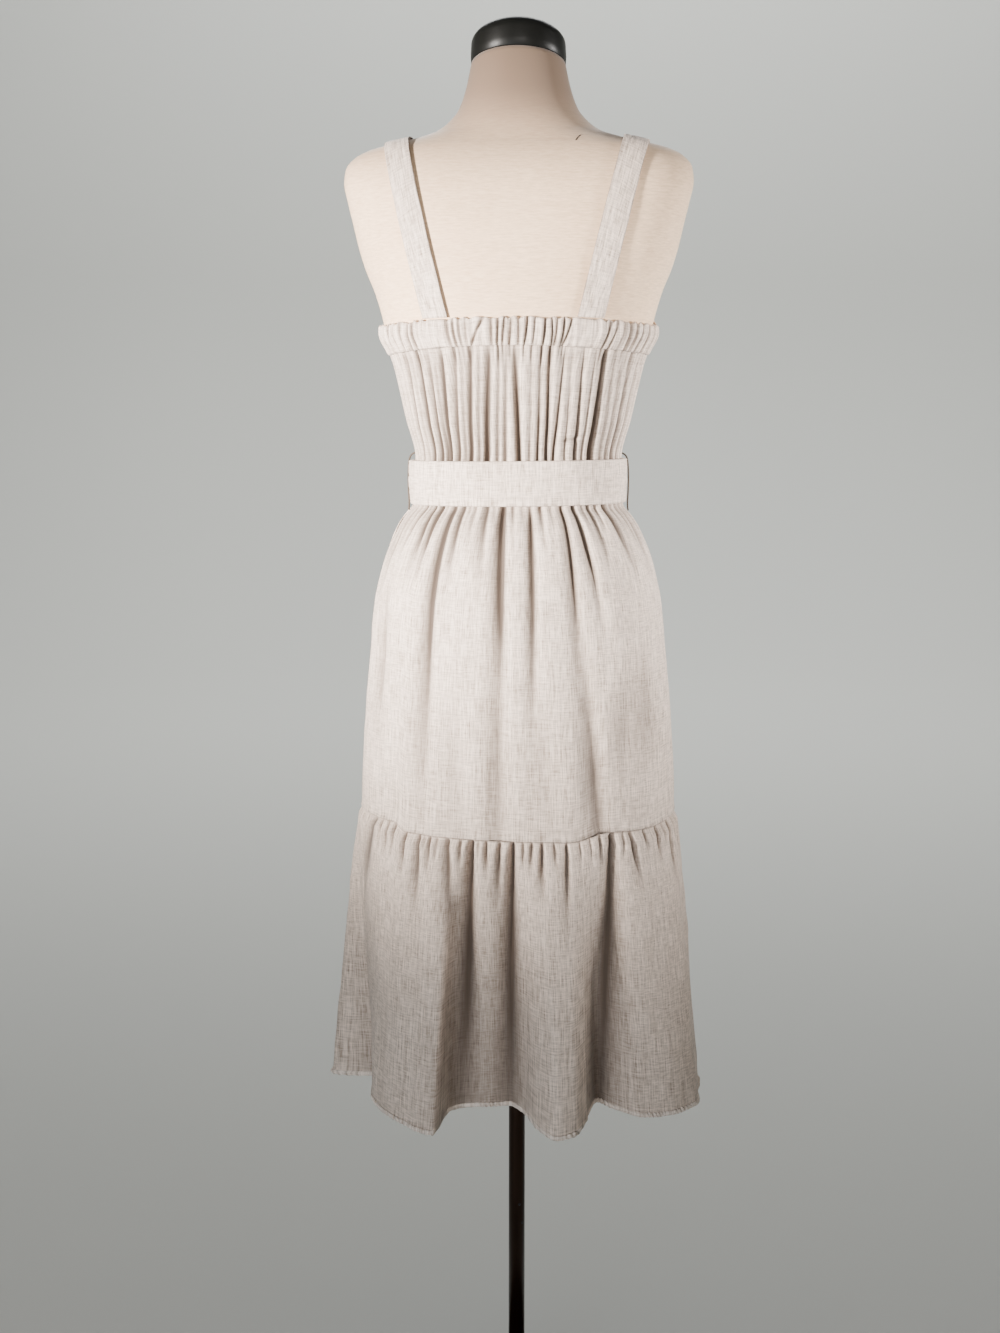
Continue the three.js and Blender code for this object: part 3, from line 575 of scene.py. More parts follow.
# Short creases that the elastic draws in, by angle, with their slant in degrees
CASING_RUCHES = table("at lean depth width", [
    (-84, -2, 1.6, 1.3), (-77, -2, 1.8, 1.2), (-70, -3, 1.5, 1.1), (-64.3, -3, 2.0, 1.2),
    (-59, -1, 1.3, 1.0), (-53.9, -1, 1.8, 1.1), (-48, -1, 2.4, 0.9), (-45.3, 0, 2.4, 0.8),
    (-40, 0, 0.6, 0.7), (-36.5, 0, 0.5, 0.8), (-31, 0, 0.5, 0.7), (-27, 1, 2.0, 0.8),
    (-24.3, 1, 1.7, 0.7), (-21.6, 0.5, 1.9, 0.8), (-18.5, 0, 1.4, 0.8), (-11, -6, 2.0, 0.8),
    (-7.8, 0, 1.6, 0.8), (-5.2, -0.5, 1.9, 0.7), (-2.6, -1, 2.0, 0.7), (0.2, -0.8, 1.7, 0.8),
    (3.2, 0, 1.2, 0.8), (6.5, -1.2, 2.0, 0.8), (9.3, -0.6, 1.4, 0.8), (13.4, -0.5, 2.2, 0.8),
    (16, 0.5, 2.1, 0.7), (18.4, -0.5, 1.6, 0.7), (21.3, -1, 1.9, 0.8), (24.2, -2.5, 2.1, 0.8),
    (29.3, 0, 0.6, 0.8), (34, 0.5, 0.6, 0.7), (42.2, -1.5, 2.0, 0.9), (46, -2, 1.6, 0.9),
    (50.3, -1, 1.3, 0.9), (54.2, 0, 1.6, 1.0), (59, -1, 1.2, 1.0), (64.2, -1, 1.9, 1.0),
    (70.9, -2, 1.8, 1.2), (77.5, -1, 1.6, 1.2), (84, 0, 1.8, 1.2),
])

MM = 0.001
read_cloth = smooth_table(CLOTH_RINGS, "z")


def cloth_point(angle, z, out=0, along=0):
    """Point of the dress at an angle from the middle of the back, out of its ring and along."""
    turn = math.radians(angle)
    sine, cosine = math.sin(turn), math.cos(turn)
    half = read_cloth("half", z)
    depth = read_cloth("back" if cosine > 0 else "front", z)
    length = math.hypot(sine / half, cosine / depth)
    nx, ny = sine / half / length, -cosine / depth / length
    return Vector((half * sine + nx * out - ny * along, -depth * cosine + ny * out + nx * along, z))


def casing_bottom(angle):
    return CASING_BOTTOM - 0.008 * math.sin(math.radians(angle)) ** 2


def casing_top(angle):
    return CASING_TOP - 0.006 * math.sin(math.radians(angle)) ** 2


def crumple(angle, z, size):
    """Small uneven waves that handled linen keeps, in metres."""
    place = Vector((angle * 0.11, z * 14, 3.7))
    return size * (noise.noise(place) + 0.5 * noise.noise(place * 2.6))


def ruche_depth(angle, s):
    """Depth of the elastic's creases, where s goes from 0 at the casing's top to 1 below."""
    return sum(r["depth"] * bell((angle - r["at"] - r["lean"] * s) / (0.8 * r["width"])) * MM
               for r in CASING_RUCHES if abs(angle - r["at"]) < 9)


def crease(distance, width):
    """Section of a crease: a long slope on its left and a steep one on its right."""
    reach = 1.5 * width if distance < 0 else 0.8 * width
    return math.exp(-abs(distance / reach) ** 1.5)


def bodice_back_face(angle, z):
    top = casing_bottom(angle) - SEAM_GAP
    s = (top - z) / (top - WAIST_HEIGHT)
    depth = shade = 0
    for fold in BODICE_FOLDS:
        centre = fold["top"] + (fold["low"] - fold["top"]) * s
        if abs(angle - centre) < 8:
            section = crease(angle - centre, fold["width"]) * (0.85 + 0.75 * s)
            depth += fold["depth"] * MM * section
            shade += section ** 1.4 * fold["depth"] / 6
    hold = 1 - smoothstep(z, WAIST_HEIGHT, BELT_TOP)
    fade = smoothstep(s, -0.14, 0.10) * (1 - hold)
    puff = BODICE_PUFF * smoothstep(s, -0.1, 0.2) * (1 - hold)
    ruche = ruche_depth(angle, 1) * (1 - smoothstep(s, 0.02, 0.2))
    tuck_line = TUCK_HEIGHT + TUCK_SLANT * (angle - TUCK_ANGLE)
    tuck = bell((angle - TUCK_ANGLE) / 4.5) * bell((z - tuck_line) / 0.0026)
    out = puff - depth * fade - 1.2 * ruche - TUCK_DEPTH * tuck + crumple(angle, z, 0.0006) * fade
    # The second value is painted shade: darker in the folds, in the elastic's creases and in the tuck
    return cloth_point(angle, z, out), shade * fade + 200 * ruche + 0.4 * tuck


def cloth_sheet(name, columns, rows, cut, face):
    """A grid of columns and rows moved to face(u, v), with its cut in metres as a UV map.

    face gives a point and the strength of painted shade there, from 0 to 1, kept in the crease
    attribute for the material: shade painted into creases, seams and edges.
    """
    bm = bmesh.new()
    uv = bm.loops.layers.uv.new("cut")
    # The crease attribute holds the painted shade that the material mixes into the cloth
    painted_shade_layer = bm.verts.layers.float.new("crease")
    bmesh.ops.create_grid(bm, x_segments=columns, y_segments=rows, size=0.5)
    for vert in bm.verts:
        u, v = vert.co.x + 0.5, vert.co.y + 0.5
        for loop in vert.link_loops:
            loop[uv].uv = (u * cut[0], v * cut[1])
        vert.co, vert[painted_shade_layer] = face(u, v)
    return new_piece(name, bm)


def thicken(piece, thickness):
    wall = piece.modifiers.new("wall", "SOLIDIFY")
    wall.thickness = thickness
    wall.offset = -1
    wall.use_even_offset = False
    return piece


def linen_material(name, light, dark):
    """Plain-weave linen: uneven warp and weft threads of two tones over a cloudy ground, mixed towards
    a painted shade colour by the crease attribute.
    """
    material = plain_material(name, light, 0.88)
    tree = material.node_tree
    shader = tree.nodes["Principled BSDF"]
    shader.inputs["Sheen Weight"].default_value = 0.18
    shader.inputs["Sheen Roughness"].default_value = 0.45
    coords = tree.nodes.new("ShaderNodeUVMap")
    coords.uv_map = "cut"

    def woven(threads, below=None):
        """Threads laid over what is below, each kind with its scale, seed and weight."""
        for scale, seed, weight in threads:
            place = stretched(tree, coords.outputs["UV"], scale, (seed, seed * 0.7, 0))
            layer = tree.nodes.new("ShaderNodeMath")
            layer.operation = "MULTIPLY_ADD"
            layer.inputs[1].default_value = weight
            layer.inputs[2].default_value = 0
            link(tree, clouded(tree, place, 1, 4, 0.6), layer.inputs[0])
            if below is not None:
                link(tree, below, layer.inputs[2])
            below = layer.outputs["Value"]
        return below

    fine = woven([((700, 48, 1), 2.1, 0.44), ((65, 750, 1), 7.3, 0.29)])
    both = woven([((260, 8, 1), 4.4, 0.18), ((10, 240, 1), 9.2, 0.09)], fine)
    # Painted shade: the crease attribute mixes the cloth's colour towards LINEN_SHADE in creases, at
    # seams and along edges
    depth = tree.nodes.new("ShaderNodeAttribute")
    depth.attribute_name = "crease"
    shade = tree.nodes.new("ShaderNodeMix")
    shade.data_type = "RGBA"
    shade.inputs["B"].default_value = (*LINEN_SHADE, 1)
    link(tree, depth.outputs["Fac"], shade.inputs["Factor"])
    link(tree, tinted(tree, both, dark, light, 0.38, 0.568), shade.inputs["A"])
    link(tree, shade.outputs["Result"], shader.inputs["Base Color"])
    raise_threads(tree, shader, fine, 0.5, 0.0014)
    return material


LINEN_LIGHT = (0.855, 0.70, 0.588)
LINEN_DARK = (0.255, 0.187, 0.142)
LINEN_SHADE = (0.092, 0.063, 0.045)
linen = linen_material("oatmeal_linen", LINEN_LIGHT, LINEN_DARK)


def between(low, high, s):
    return low + (high - low) * s


def add_bodice_back():
    cut = (0.48, 0.158)

    def face(u, v):
        angle = between(-SIDE_EDGE, SIDE_EDGE, u)
        z = between(WAIST_HEIGHT + SEAM_GAP / 2, casing_bottom(angle) - SEAM_GAP, v)
        return bodice_back_face(angle, z)

    piece = thicken(cloth_sheet("back_bodice", 420, 60, cut, face), CLOTH_THICKNESS)
    finish_piece(piece, linen, "linen", "bodice_back")


add_bodice_back()


# Elastic casing
# A strip of linen folded over wide elastic into a band 3 cm deep, sewn along the bodice's
# upper edge. The elastic ruches it, but for where the straps' ends are sewn flat to it.
CASING_THICKNESS = 0.0022
CASING_LENGTH = 0.42
CASING_LIFT = 0.0016
CASING_PUFF = 0.0016
STRAP_ENDS = 32
STITCH_RADIUS = 0.00022

stitch_thread = plain_material("stitch_thread", (0.70, 0.58, 0.48), 0.75)


def stitched_rows(name, rows):
    """Small raised stitches from rows of points that lie on the cloth."""
    bm = bmesh.new()
    for row in rows:
        for start, end in zip(row[::2], row[1::2]):
            along = end - start
            turn = along.to_track_quat("X", "Z").to_matrix().to_4x4()
            size = Matrix.Diagonal((along.length / 2, STITCH_RADIUS, STITCH_RADIUS, 1))
            place = Matrix.Translation((start + end) / 2) @ turn @ size
            bmesh.ops.create_icosphere(bm, subdivisions=1, radius=1, matrix=place)
    finish_piece(new_piece(name, bm), stitch_thread, "linen")


def steps(start, end, length, spacing=0.0016):
    """Places from start to end that are spaced for stitches over a row of that length."""
    count = 2 * round(length / spacing / 2)
    return [between(start, end, i / (count - 1)) for i in range(count)]


def casing_face(u, v):
    angle = between(-SIDE_EDGE, SIDE_EDGE, u)
    bottom, top = casing_bottom(angle), casing_top(angle)
    flat = bell((abs(angle + 1) - STRAP_ENDS) / 5.2) ** 2
    scallop = 0.0012 * math.sin(angle * 0.93 + 2 * math.sin(angle * 0.31)) * (1 - flat)
    z = between(bottom - 0.0006, top + scallop, v)
    channel = math.sin(math.pi * min(max(v, 0), 1)) ** 0.5
    depth = 1.7 * ruche_depth(angle, 1 - v) * (0.6 + 0.4 * channel) * (1 - 0.8 * flat)
    roll = 0.0012 * (smoothstep(v, 0.93, 1) + (0.3 + 0.7 * flat) * smoothstep(1 - v, 0.94, 1))
    puff = CASING_PUFF * channel
    wave = 0.0006 * math.sin(angle * 1.7) * (1 - flat)
    # Painted shade in the elastic's creases, and a painted shadow line at the casing's lower edge under
    # the straps' ends
    shade = 260 * depth + 0.8 * flat * smoothstep(0.05 - v, 0, 0.05)
    return cloth_point(angle, z, CASING_LIFT + puff + wave - depth - roll), shade


def add_casing():
    cut = (0.56, 0.031)
    piece = thicken(cloth_sheet("elastic_casing", 560, 18, cut, casing_face), CASING_THICKNESS)
    finish_piece(piece, linen, "linen", "casing_back")
    stitched_rows("casing_stitches", [[casing_face(u, 0.09)[0] for u in steps(0, 1, CASING_LENGTH)]])


add_casing()


# Front bodice
# A plain panel, shaped over the bust by a dart below each cup and cut a little higher
# where the straps are sewn in. Its upper edge is faced and turned.
NECKLINE = table("at z", [
    (90, 1.366), (120, 1.384), (138, 1.397), (160, 1.391), (180, 1.388), (200, 1.391), (222, 1.397),
    (240, 1.384), (270, 1.366),
])
DART_ANGLE = 30
DART_TOP = 1.290
DART_FOOT = 1.22
DART_DEPTH = 0.0022
read_neckline = smooth_table(NECKLINE, "at")


def bodice_front_face(angle, z):
    side = abs(angle - 180)
    dart = DART_DEPTH * math.exp(-abs((side - DART_ANGLE) / 1.1))
    dart *= 1 - smoothstep(z, DART_FOOT, DART_TOP)
    drag = 0.0014 * math.sin(side * 0.35 + z * 70) * bell((z - 1.25) / 0.05)
    drag *= smoothstep(side, 35, 75)
    hold = smoothstep(z, WAIST_HEIGHT, BELT_TOP)
    rumple = crumple(angle, z, 0.0011) * hold
    return cloth_point(angle, z, bust(angle, z) - (dart - drag) * hold + rumple)


def add_bodice_front():
    cut = (0.40, 0.215)

    def face(u, v):
        angle = between(180 - SIDE_EDGE, 180 + SIDE_EDGE, u)
        z = between(WAIST_HEIGHT + SEAM_GAP / 2, read_neckline("z", angle), v)
        point = bodice_front_face(angle, z)
        roll = 0.001 * smoothstep(v, 0.985, 1)
        return point - Vector((point.x, point.y, 0)).normalized() * roll, 0

    piece = thicken(cloth_sheet("front_bodice", 150, 72, cut, face), CLOTH_THICKNESS)
    finish_piece(piece, linen, "linen", "bodice_front")


add_bodice_front()


# Straps
# Two straps of folded linen, 3 cm wide and stitched along both edges. Each is sewn through
# the casing behind, lies over the shoulder and goes into the neckline in front.
STRAP_WIDTH = 0.029
STRAP_WALL = 0.002
STRAP_FOOT = 0.085
STRAP_RIDGE = 0.134
STRAP_CENTRE = 1.405
STRAP_LIFT = 0.0036
STRAP_STITCH = 0.40
SHOULDER_HEIGHT = 1.568


def form_face(x, turn):
    """Point of the form in the upright plane at x, seen at a turn from the back over the top."""
    direction = Vector((0, -math.cos(math.radians(turn)), math.sin(math.radians(turn))))
    near, far = 0.0, 0.26
    for _ in range(26):
        reach = (near + far) / 2
        y, z = direction.y * reach, STRAP_CENTRE + direction.z * reach
        square = read_form("square", z)
        depth = read_form("back" if y < 0 else "front", z)
        inside = abs(x / read_form("half", z)) ** square + abs(y / depth) ** square < 1
        near, far = (reach, far) if inside else (near, reach)
    return Vector((x, 0, STRAP_CENTRE)) + direction * near


def strap_ends(x):
    """Turns at which the strap meets the casing behind and the neckline in front."""
    angle = math.degrees(math.asin(x / read_cloth("half", CASING_TOP)))
    behind = abs(form_face(x, -20).y) + STRAP_LIFT
    before = form_face(x, 185).y + STRAP_LIFT
    behind_drop = STRAP_CENTRE - casing_top(angle) - SEAM_GAP
    before_drop = STRAP_CENTRE - read_neckline("z", 180 - angle) - SEAM_GAP
    return -math.degrees(math.atan(behind_drop / behind)), \
        180 + math.degrees(math.atan(before_drop / before))


def strap_route(across, v, ends):
    """Place on the form's surface under the strap, with x before the sides are mirrored."""
    turn = between(*ends, v)
    x = STRAP_RIDGE + across
    for _ in range(4):
        rise = (form_face(x, turn).z - CASING_TOP) / (SHOULDER_HEIGHT - CASING_TOP)
        x = between(STRAP_FOOT, STRAP_RIDGE, min(max(rise, 0), 1)) + across
    return x, turn


def strap_face(across, v, ends, lift):
    x, turn = strap_route(across, v, ends)
    step = 0.5
    sideways = form_face(x + 0.0005, turn) - form_face(x - 0.0005, turn)
    onward = form_face(x, turn + step) - form_face(x, turn - step)
    return form_face(x, turn) + sideways.cross(onward).normalized() * lift


def add_strap(name, node, side):
    columns, rows = 24, 130
    cut = (0.030, 0.50)
    edges = {}

    def face(u, v):
        across = side * (u - 0.5) * STRAP_WIDTH
        if u not in edges:
            edges[u] = strap_ends(STRAP_FOOT + across)
        border = smoothstep(abs(u - 0.5), 0.44, 0.5)
        stitched = 0.0004 * bell((abs(u - 0.5) - STRAP_STITCH) / 0.035)
        fold = 0.0004 * bell((u - 0.5 + side * 0.2) / 0.05)
        swell = 0.0004 * math.sin(v * 41 + side) * (1 - border)
        lift = STRAP_LIFT + 0.0003 - 0.0007 * border - stitched - fold + swell
        point = strap_face(across, v, edges[u], lift)
        point.x *= side
        # The second value is painted shadow along the strap's edges, stronger on its inner edge where
        # it meets the form
        return point, border * (0.9 if across < 0 else 0.25)

    piece = thicken(cloth_sheet(name, columns, rows, cut, face), STRAP_WALL)
    finish_piece(piece, linen, "linen", node)
    places = steps(0.004, 0.996, cut[1])
    stitched_rows(name + "_stitches", [
        [face(0.5 - STRAP_STITCH, v)[0] for v in places],
        [face(0.5 + STRAP_STITCH, v)[0] for v in places],
    ])


add_strap("shoulder_strap_left", "strap_left", -1)
add_strap("shoulder_strap_right", "strap_right", 1)


# Upper skirt
# Back and front widths, gathered hard into the waist seam under the belt. Short creases
# fan out from it, a few run on down, and the cloth then falls in soft upright valleys.

# Folds run from their start, or else from the waist seam, down to their end
SKIRT_FOLDS = table("top low end depth width start", [
    (-84, -84, 1.100, 4.0, 3.0), (-76, -80, 1.060, 4.5, 2.6), (-68, -75, 1.030, 5.5, 2.2),
    (-61, -67, 1.090, 4.5, 1.8), (-55, -61, 1.095, 7.5, 1.7), (-51, -54, 1.120, 4.0, 1.3),
    (-48, -49, 1.070, 8.0, 1.6), (-42, -44, 1.060, 9.0, 1.7), (-38, -39, 1.115, 3.5, 1.2),
    (-33, -33.5, 0.910, 9.0, 2.0), (-27.5, -26, 1.050, 7.0, 1.6), (-23.5, -23, 1.120, 3.0, 1.1),
    (-20.5, -19, 1.105, 4.5, 1.4), (-13.6, -12.4, 1.070, 6.5, 1.6), (-9.5, -9.5, 1.130, 3.0, 1.2),
    (-4.5, -2.8, 0.930, 10.0, 2.0), (0.5, 1, 1.115, 4.5, 1.2), (5.5, 5, 1.130, 3.0, 1.2),
    (9.7, 7.8, 0.840, 7.0, 1.7), (15.6, 14.2, 1.112, 5.5, 1.3), (21, 20, 1.125, 3.0, 1.3),
    (26.8, 25.5, 0.930, 7.0, 1.8), (33.2, 37.8, 1.000, 7.5, 1.5), (38.5, 40, 1.120, 3.5, 1.2),
    (43.5, 44, 1.080, 6.0, 1.5), (50, 47.5, 1.122, 5.0, 1.4), (55.5, 62, 1.060, 6.5, 1.7),
    (62, 66, 1.110, 4.0, 1.6), (70, 74, 1.095, 4.5, 2.0), (78, 80, 1.060, 4.5, 2.2),
    (86, 86, 1.100, 3.5, 2.4), (-64, -62, 0.850, 6.0, 4.0, 1.120), (-34, -33, 0.770, 6.5, 3.2, 1.090),
    (-21, -17, 0.720, 2.8, 3.0, 1.010), (-4, -4, 0.680, 6.5, 3.0, 1.090),
    (12, 13, 0.760, 2.6, 3.0, 1.000), (26, 38, 0.620, 8.5, 3.3, 1.090),
    (46, 45, 0.820, 2.8, 4.0, 0.990), (60, 58, 0.840, 4.5, 6.0, 1.020),
])

FRONT_SKIRT_FOLDS = table("top low end depth width start", [
    (98, 96, 1.090, 5.0, 2.2), (103, 101, 1.120, 3.5, 1.6), (108, 104, 1.060, 6.0, 2.2),
    (114, 112, 1.110, 3.5, 1.6), (120, 118, 1.090, 5.5, 1.9), (128, 125, 0.980, 8.0, 2.2),
    (133, 132, 1.120, 3.5, 1.5), (138, 137, 1.085, 6.0, 1.8), (147, 145, 1.040, 7.0, 1.9),
    (152, 151, 1.125, 3.5, 1.4), (157, 157, 1.105, 5.5, 1.7), (166, 165, 0.960, 7.5, 2.0),
    (171, 171, 1.120, 3.0, 1.4), (176, 177, 1.090, 6.0, 1.7), (185, 184, 1.030, 7.0, 1.8),
    (190, 191, 1.125, 3.0, 1.4), (196, 199, 0.970, 8.0, 2.0), (207, 208, 1.100, 6.0, 1.8),
    (212, 214, 1.125, 3.5, 1.5), (217, 220, 1.050, 7.0, 1.9), (229, 233, 0.990, 7.5, 2.2),
    (235, 238, 1.120, 3.5, 1.6), (241, 244, 1.095, 5.5, 2.0), (254, 259, 1.060, 5.5, 2.4),
    (262, 264, 1.110, 3.5, 2.0), (126, 122, 0.830, 6.5, 5.0, 1.020), (145, 143, 0.820, 3.0, 4.0, 1.000),
    (165, 163, 0.815, 6.5, 5.0, 1.010), (184, 182, 0.830, 3.0, 4.0, 1.000),
    (200, 202, 0.820, 6.5, 5.0, 1.010), (218, 220, 0.830, 3.0, 4.0, 0.990),
    (236, 240, 0.840, 5.5, 6.0, 1.010),
])

TIER_SEAM = table("at z", [
    (-90, 0.801), (-47, 0.799), (-41, 0.7905), (12, 0.788), (22, 0.7865), (36, 0.7945), (54, 0.793),
    (90, 0.800), (180, 0.794),
])
BROAD_FOLD = 3
SEAM_STITCH = 0.004
SEAM_LENGTH = 0.54
SLANT_HEIGHT = 0.797
SLANT_ANGLE = 30
read_seam = round_table(TIER_SEAM)


def fold_depth(folds, angle, z):
    """Depth of the folds at a place, and the painted shade laid in them there."""
    depth = shade = 0
    for fold in folds:
        start = fold.get("start", WAIST_HEIGHT)
        if not fold["end"] < z < start:
            continue
        s = (start - z) / (start - fold["end"])
        centre = fold["top"] + (fold["low"] - fold["top"]) * s
        width = fold["width"] * (1 + 0.6 * s)
        if abs(angle - centre) > 4 * width:
            continue
        rise, darkness = (0.14, 6) if fold["width"] < BROAD_FOLD else (0.5, 10)
        fade = smoothstep(s, 0, rise) * (1 - smoothstep(s, max(0.3, rise), 1))
        section = crease(angle - centre, width)
        depth += fold["depth"] * MM * fade * section
        shade += fade * section ** 1.5 * fold["depth"] / darkness
    return depth, shade


def skirt_face(angle, z):
    folds = SKIRT_FOLDS if angle <= 90 else FRONT_SKIRT_FOLDS
    puff = 0.0022 * smoothstep(z, 1.040, 1.100) * (1 - smoothstep(z, 1.138, 1.160))
    free = 1 - smoothstep(z, 1.150, 1.175)
    lip = 0.0009 * smoothstep(read_seam("z", angle) + 0.005 - z, 0, 0.004)
    rumple = crumple(angle, z, 0.0013) * free
    depth, shade = fold_depth(folds, angle, z)
    slant_line = SLANT_HEIGHT + 0.00045 * (angle - SLANT_ANGLE)
    ridge = 0.0011 * bell((z - slant_line) / 0.0022)
    ridge *= smoothstep(angle, 26, 34) * (1 - smoothstep(angle, 58, 70))
    return cloth_point(angle, z, puff - depth + rumple + lip + ridge), shade


def add_skirt(name, node, start, end, columns, rows, cut):
    def face(u, v):
        angle = between(start + 0.1, end - 0.1, u)
        fallen = 1 - v
        top = WAIST_HEIGHT - SEAM_GAP / 2
        drop = 0.4 * fallen + 0.6 * fallen ** 1.5
        z = between(top, read_seam("z", angle) + SEAM_GAP, drop)
        return skirt_face(angle, z)

    piece = thicken(cloth_sheet(name, columns, rows, cut, face), CLOTH_THICKNESS)
    finish_piece(piece, linen, "linen", node)
    places = [between(start, end, s) for s in steps(0.002, 0.998, SEAM_LENGTH)]
    stitched_rows(name + "_seam_stitches", [
        [skirt_face(angle, read_seam("z", angle) + SEAM_STITCH)[0] for angle in places],
    ])


add_skirt("back_skirt", "skirt_back", -90, 90, 380, 100, (0.60, 0.41))
add_skirt("front_skirt", "skirt_front", 90, 270, 250, 70, (0.60, 0.41))


# Hem tier
# A deep flounce gathered on to the skirt's lower edge. Its gathers make short sharp pleats
# under the seam, and it opens below them into broad rounded flutes.
HEM_HEIGHT = 0.455
HEM_FOLDS = table("at out along", [
    (-90, 8, 0), (-79, -50, 0), (-66, -38, 0), (-50, -5, 0), (-30, 31, 6), (-22, 45, 8),
    (-17.5, -16, -9), (-11.5, -38, 0), (-1, -43, 0), (4.5, -26, 0), (8.5, 13, 0), (14, 40, -2),
    (19.5, 32, -4), (25, -12, 1), (29.5, -43, 7), (36.5, -22, 0), (43.5, 7, 0), (58, 17, -8),
    (68, 18, -4), (79, 2, 0), (96, 0, 0), (108, -30, 3), (122, 14, -4), (134, 30, 0), (145, -26, 5),
    (156, -30, -4), (167, 20, -2), (180, 26, 4), (194, -34, 4), (205, -18, -4), (220, 28, -3),
    (233, 16, 5), (246, -34, -3), (257, 0, 0),
])

# dark, where given, sets how strong a gather's painted shade is
TIER_GATHERS = table("at low depth run width dark", [
    (-86, -86, 4.3, 30, 1.2), (-82, -82, 6.5, 45, 1.3), (-77, -78, 4.3, 30, 1.2),
    (-72, -74, 8.7, 80, 1.4), (-66, -68, 4.3, 30, 1.2), (-59, -72, 3.0, 120, 4.0, 0.9),
    (-54.4, -55, 6.5, 30, 1.2), (-50.1, -51, 8.7, 40, 1.2), (-46.1, -47, 8.7, 36, 1.2),
    (-40.3, -41, 9.4, 52, 1.2), (-34, -33, 9.0, 95, 1.3), (-31.2, -31, 3.6, 24, 0.8),
    (-29.3, -29, 8.0, 44, 1.0), (-26.2, -26, 5.1, 28, 0.9), (-22.2, -19.5, 8.7, 110, 2.0),
    (-17.3, -17, 7.2, 36, 1.0), (-13.1, -16.4, 16.0, 450, 1.6), (-10.5, -10.5, 3.6, 24, 0.8),
    (-8, -7.5, 8.0, 42, 1.0), (-3.1, -4, 7.5, 85, 1.3), (1.5, -1.3, 16.0, 450, 1.5),
    (5, 5, 5.1, 28, 0.9), (8, 7.5, 6.5, 34, 1.0), (11.6, 11, 9.4, 62, 1.1), (15.7, 16, 5.8, 30, 0.9),
    (20.3, 19, 8.0, 100, 1.1), (25.1, 25, 4.3, 28, 0.9), (29, 29, 3.6, 30, 0.9), (33, 33, 6.5, 40, 1.1),
    (38.6, 29.6, 14.0, 450, 2.4), (43, 42, 4.3, 34, 1.0), (46.6, 49, 8.7, 62, 1.2),
    (53.9, 54, 5.1, 28, 1.0), (61.9, 62, 7.2, 42, 1.3), (67, 67, 4.3, 28, 1.1),
    (72.1, 73, 8.0, 75, 1.4), (78, 78, 4.3, 30, 1.2), (83, 83, 6.5, 45, 1.3),
])
FRONT_GATHER_COUNT = 34
HEM_DEPTH = 0.006
HEM_PUCKERS = 110
HEM_THICKNESS = 0.0008
TIER_PUFF = 0.0055
TIER_SET = 0.0012
# The hem's linen is a lighter copy of the cloth's: painted highlight for the light its rolled edge
# catches
HEM_LIGHT = (0.95, 0.82, 0.72)
HEM_DARK = (0.42, 0.31, 0.23)
GATHER_REACH = 14
GATHER_PINCH = 0.34
GATHER_OPENING = 7.6
GATHER_END = 1.25
hem_linen_painted_highlight = linen_material("hem_linen_painted_highlight", HEM_LIGHT, HEM_DARK)
read_hem = round_table(HEM_FOLDS)


def front_gathers():
    rows = []
    for i in range(FRONT_GATHER_COUNT):
        at = between(94, 266, i / (FRONT_GATHER_COUNT - 1)) + 1.3 * math.sin(i * 2.3)
        size = 0.8 + 0.4 * math.sin(i * 1.7 + 1)
        rows.append(dict(at=at, low=at + 1.5 * math.sin(i), depth=6 * size,
                         run=100 * size * size, width=1.0 + 0.3 * size))
    return rows


ALL_GATHERS = TIER_GATHERS + front_gathers()


def tier_face(angle, z, lift=0.0):
    """Point of the tier and its painted shade. Gathers pinch it at the seam, and flutes grow below."""
    top = read_seam("z", angle)
    fallen = max(top - z, 0)
    depth = shade = 0
    for gather in ALL_GATHERS:
        s = fallen / (gather["run"] * MM)
        if abs(angle - gather["at"]) > GATHER_REACH or s > GATHER_END:
            continue
        centre = gather["at"] + (gather["low"] - gather["at"]) * min(s, 1)
        width = gather["width"] * (GATHER_PINCH + GATHER_OPENING * fallen ** 0.78)
        fade = 1 - smoothstep(s, 0.2, GATHER_END)
        section = crease(angle - centre, width)
        depth += gather["depth"] * MM * fade * section
        shade += fade * section ** 1.3 * gather.get("dark", min(gather["depth"] / 7.5, 1))
    start = smoothstep(fallen, -0.002, 0.006)
    # Painted shadow in a thin line just under the seam
    painted_seam_shadow = 0.6 * (1 - smoothstep(fallen, 0, 0.0024))
    puff = TIER_PUFF * smoothstep(fallen, 0, 0.014) * (1 - smoothstep(fallen, 0.020, 0.150)) - TIER_SET
    grown = (fallen / (top - HEM_HEIGHT)) ** 1.15
    rumple = crumple(angle, z, 0.0022) * smoothstep(fallen, 0.01, 0.1)
    out = read_hem("out", angle) * MM * grown + puff - depth * start + rumple + lift
    # Painted shade in the valleys of the flutes
    painted_valley_shade = 0.3 * smoothstep(-read_hem("out", angle), 0, 40) * grown
    return cloth_point(angle, z, out, read_hem("along", angle) * MM * grown), \
        shade * start + painted_seam_shadow + painted_valley_shade


def hem_line(angle):
    return HEM_HEIGHT - 0.04 * MM * read_hem("out", angle)


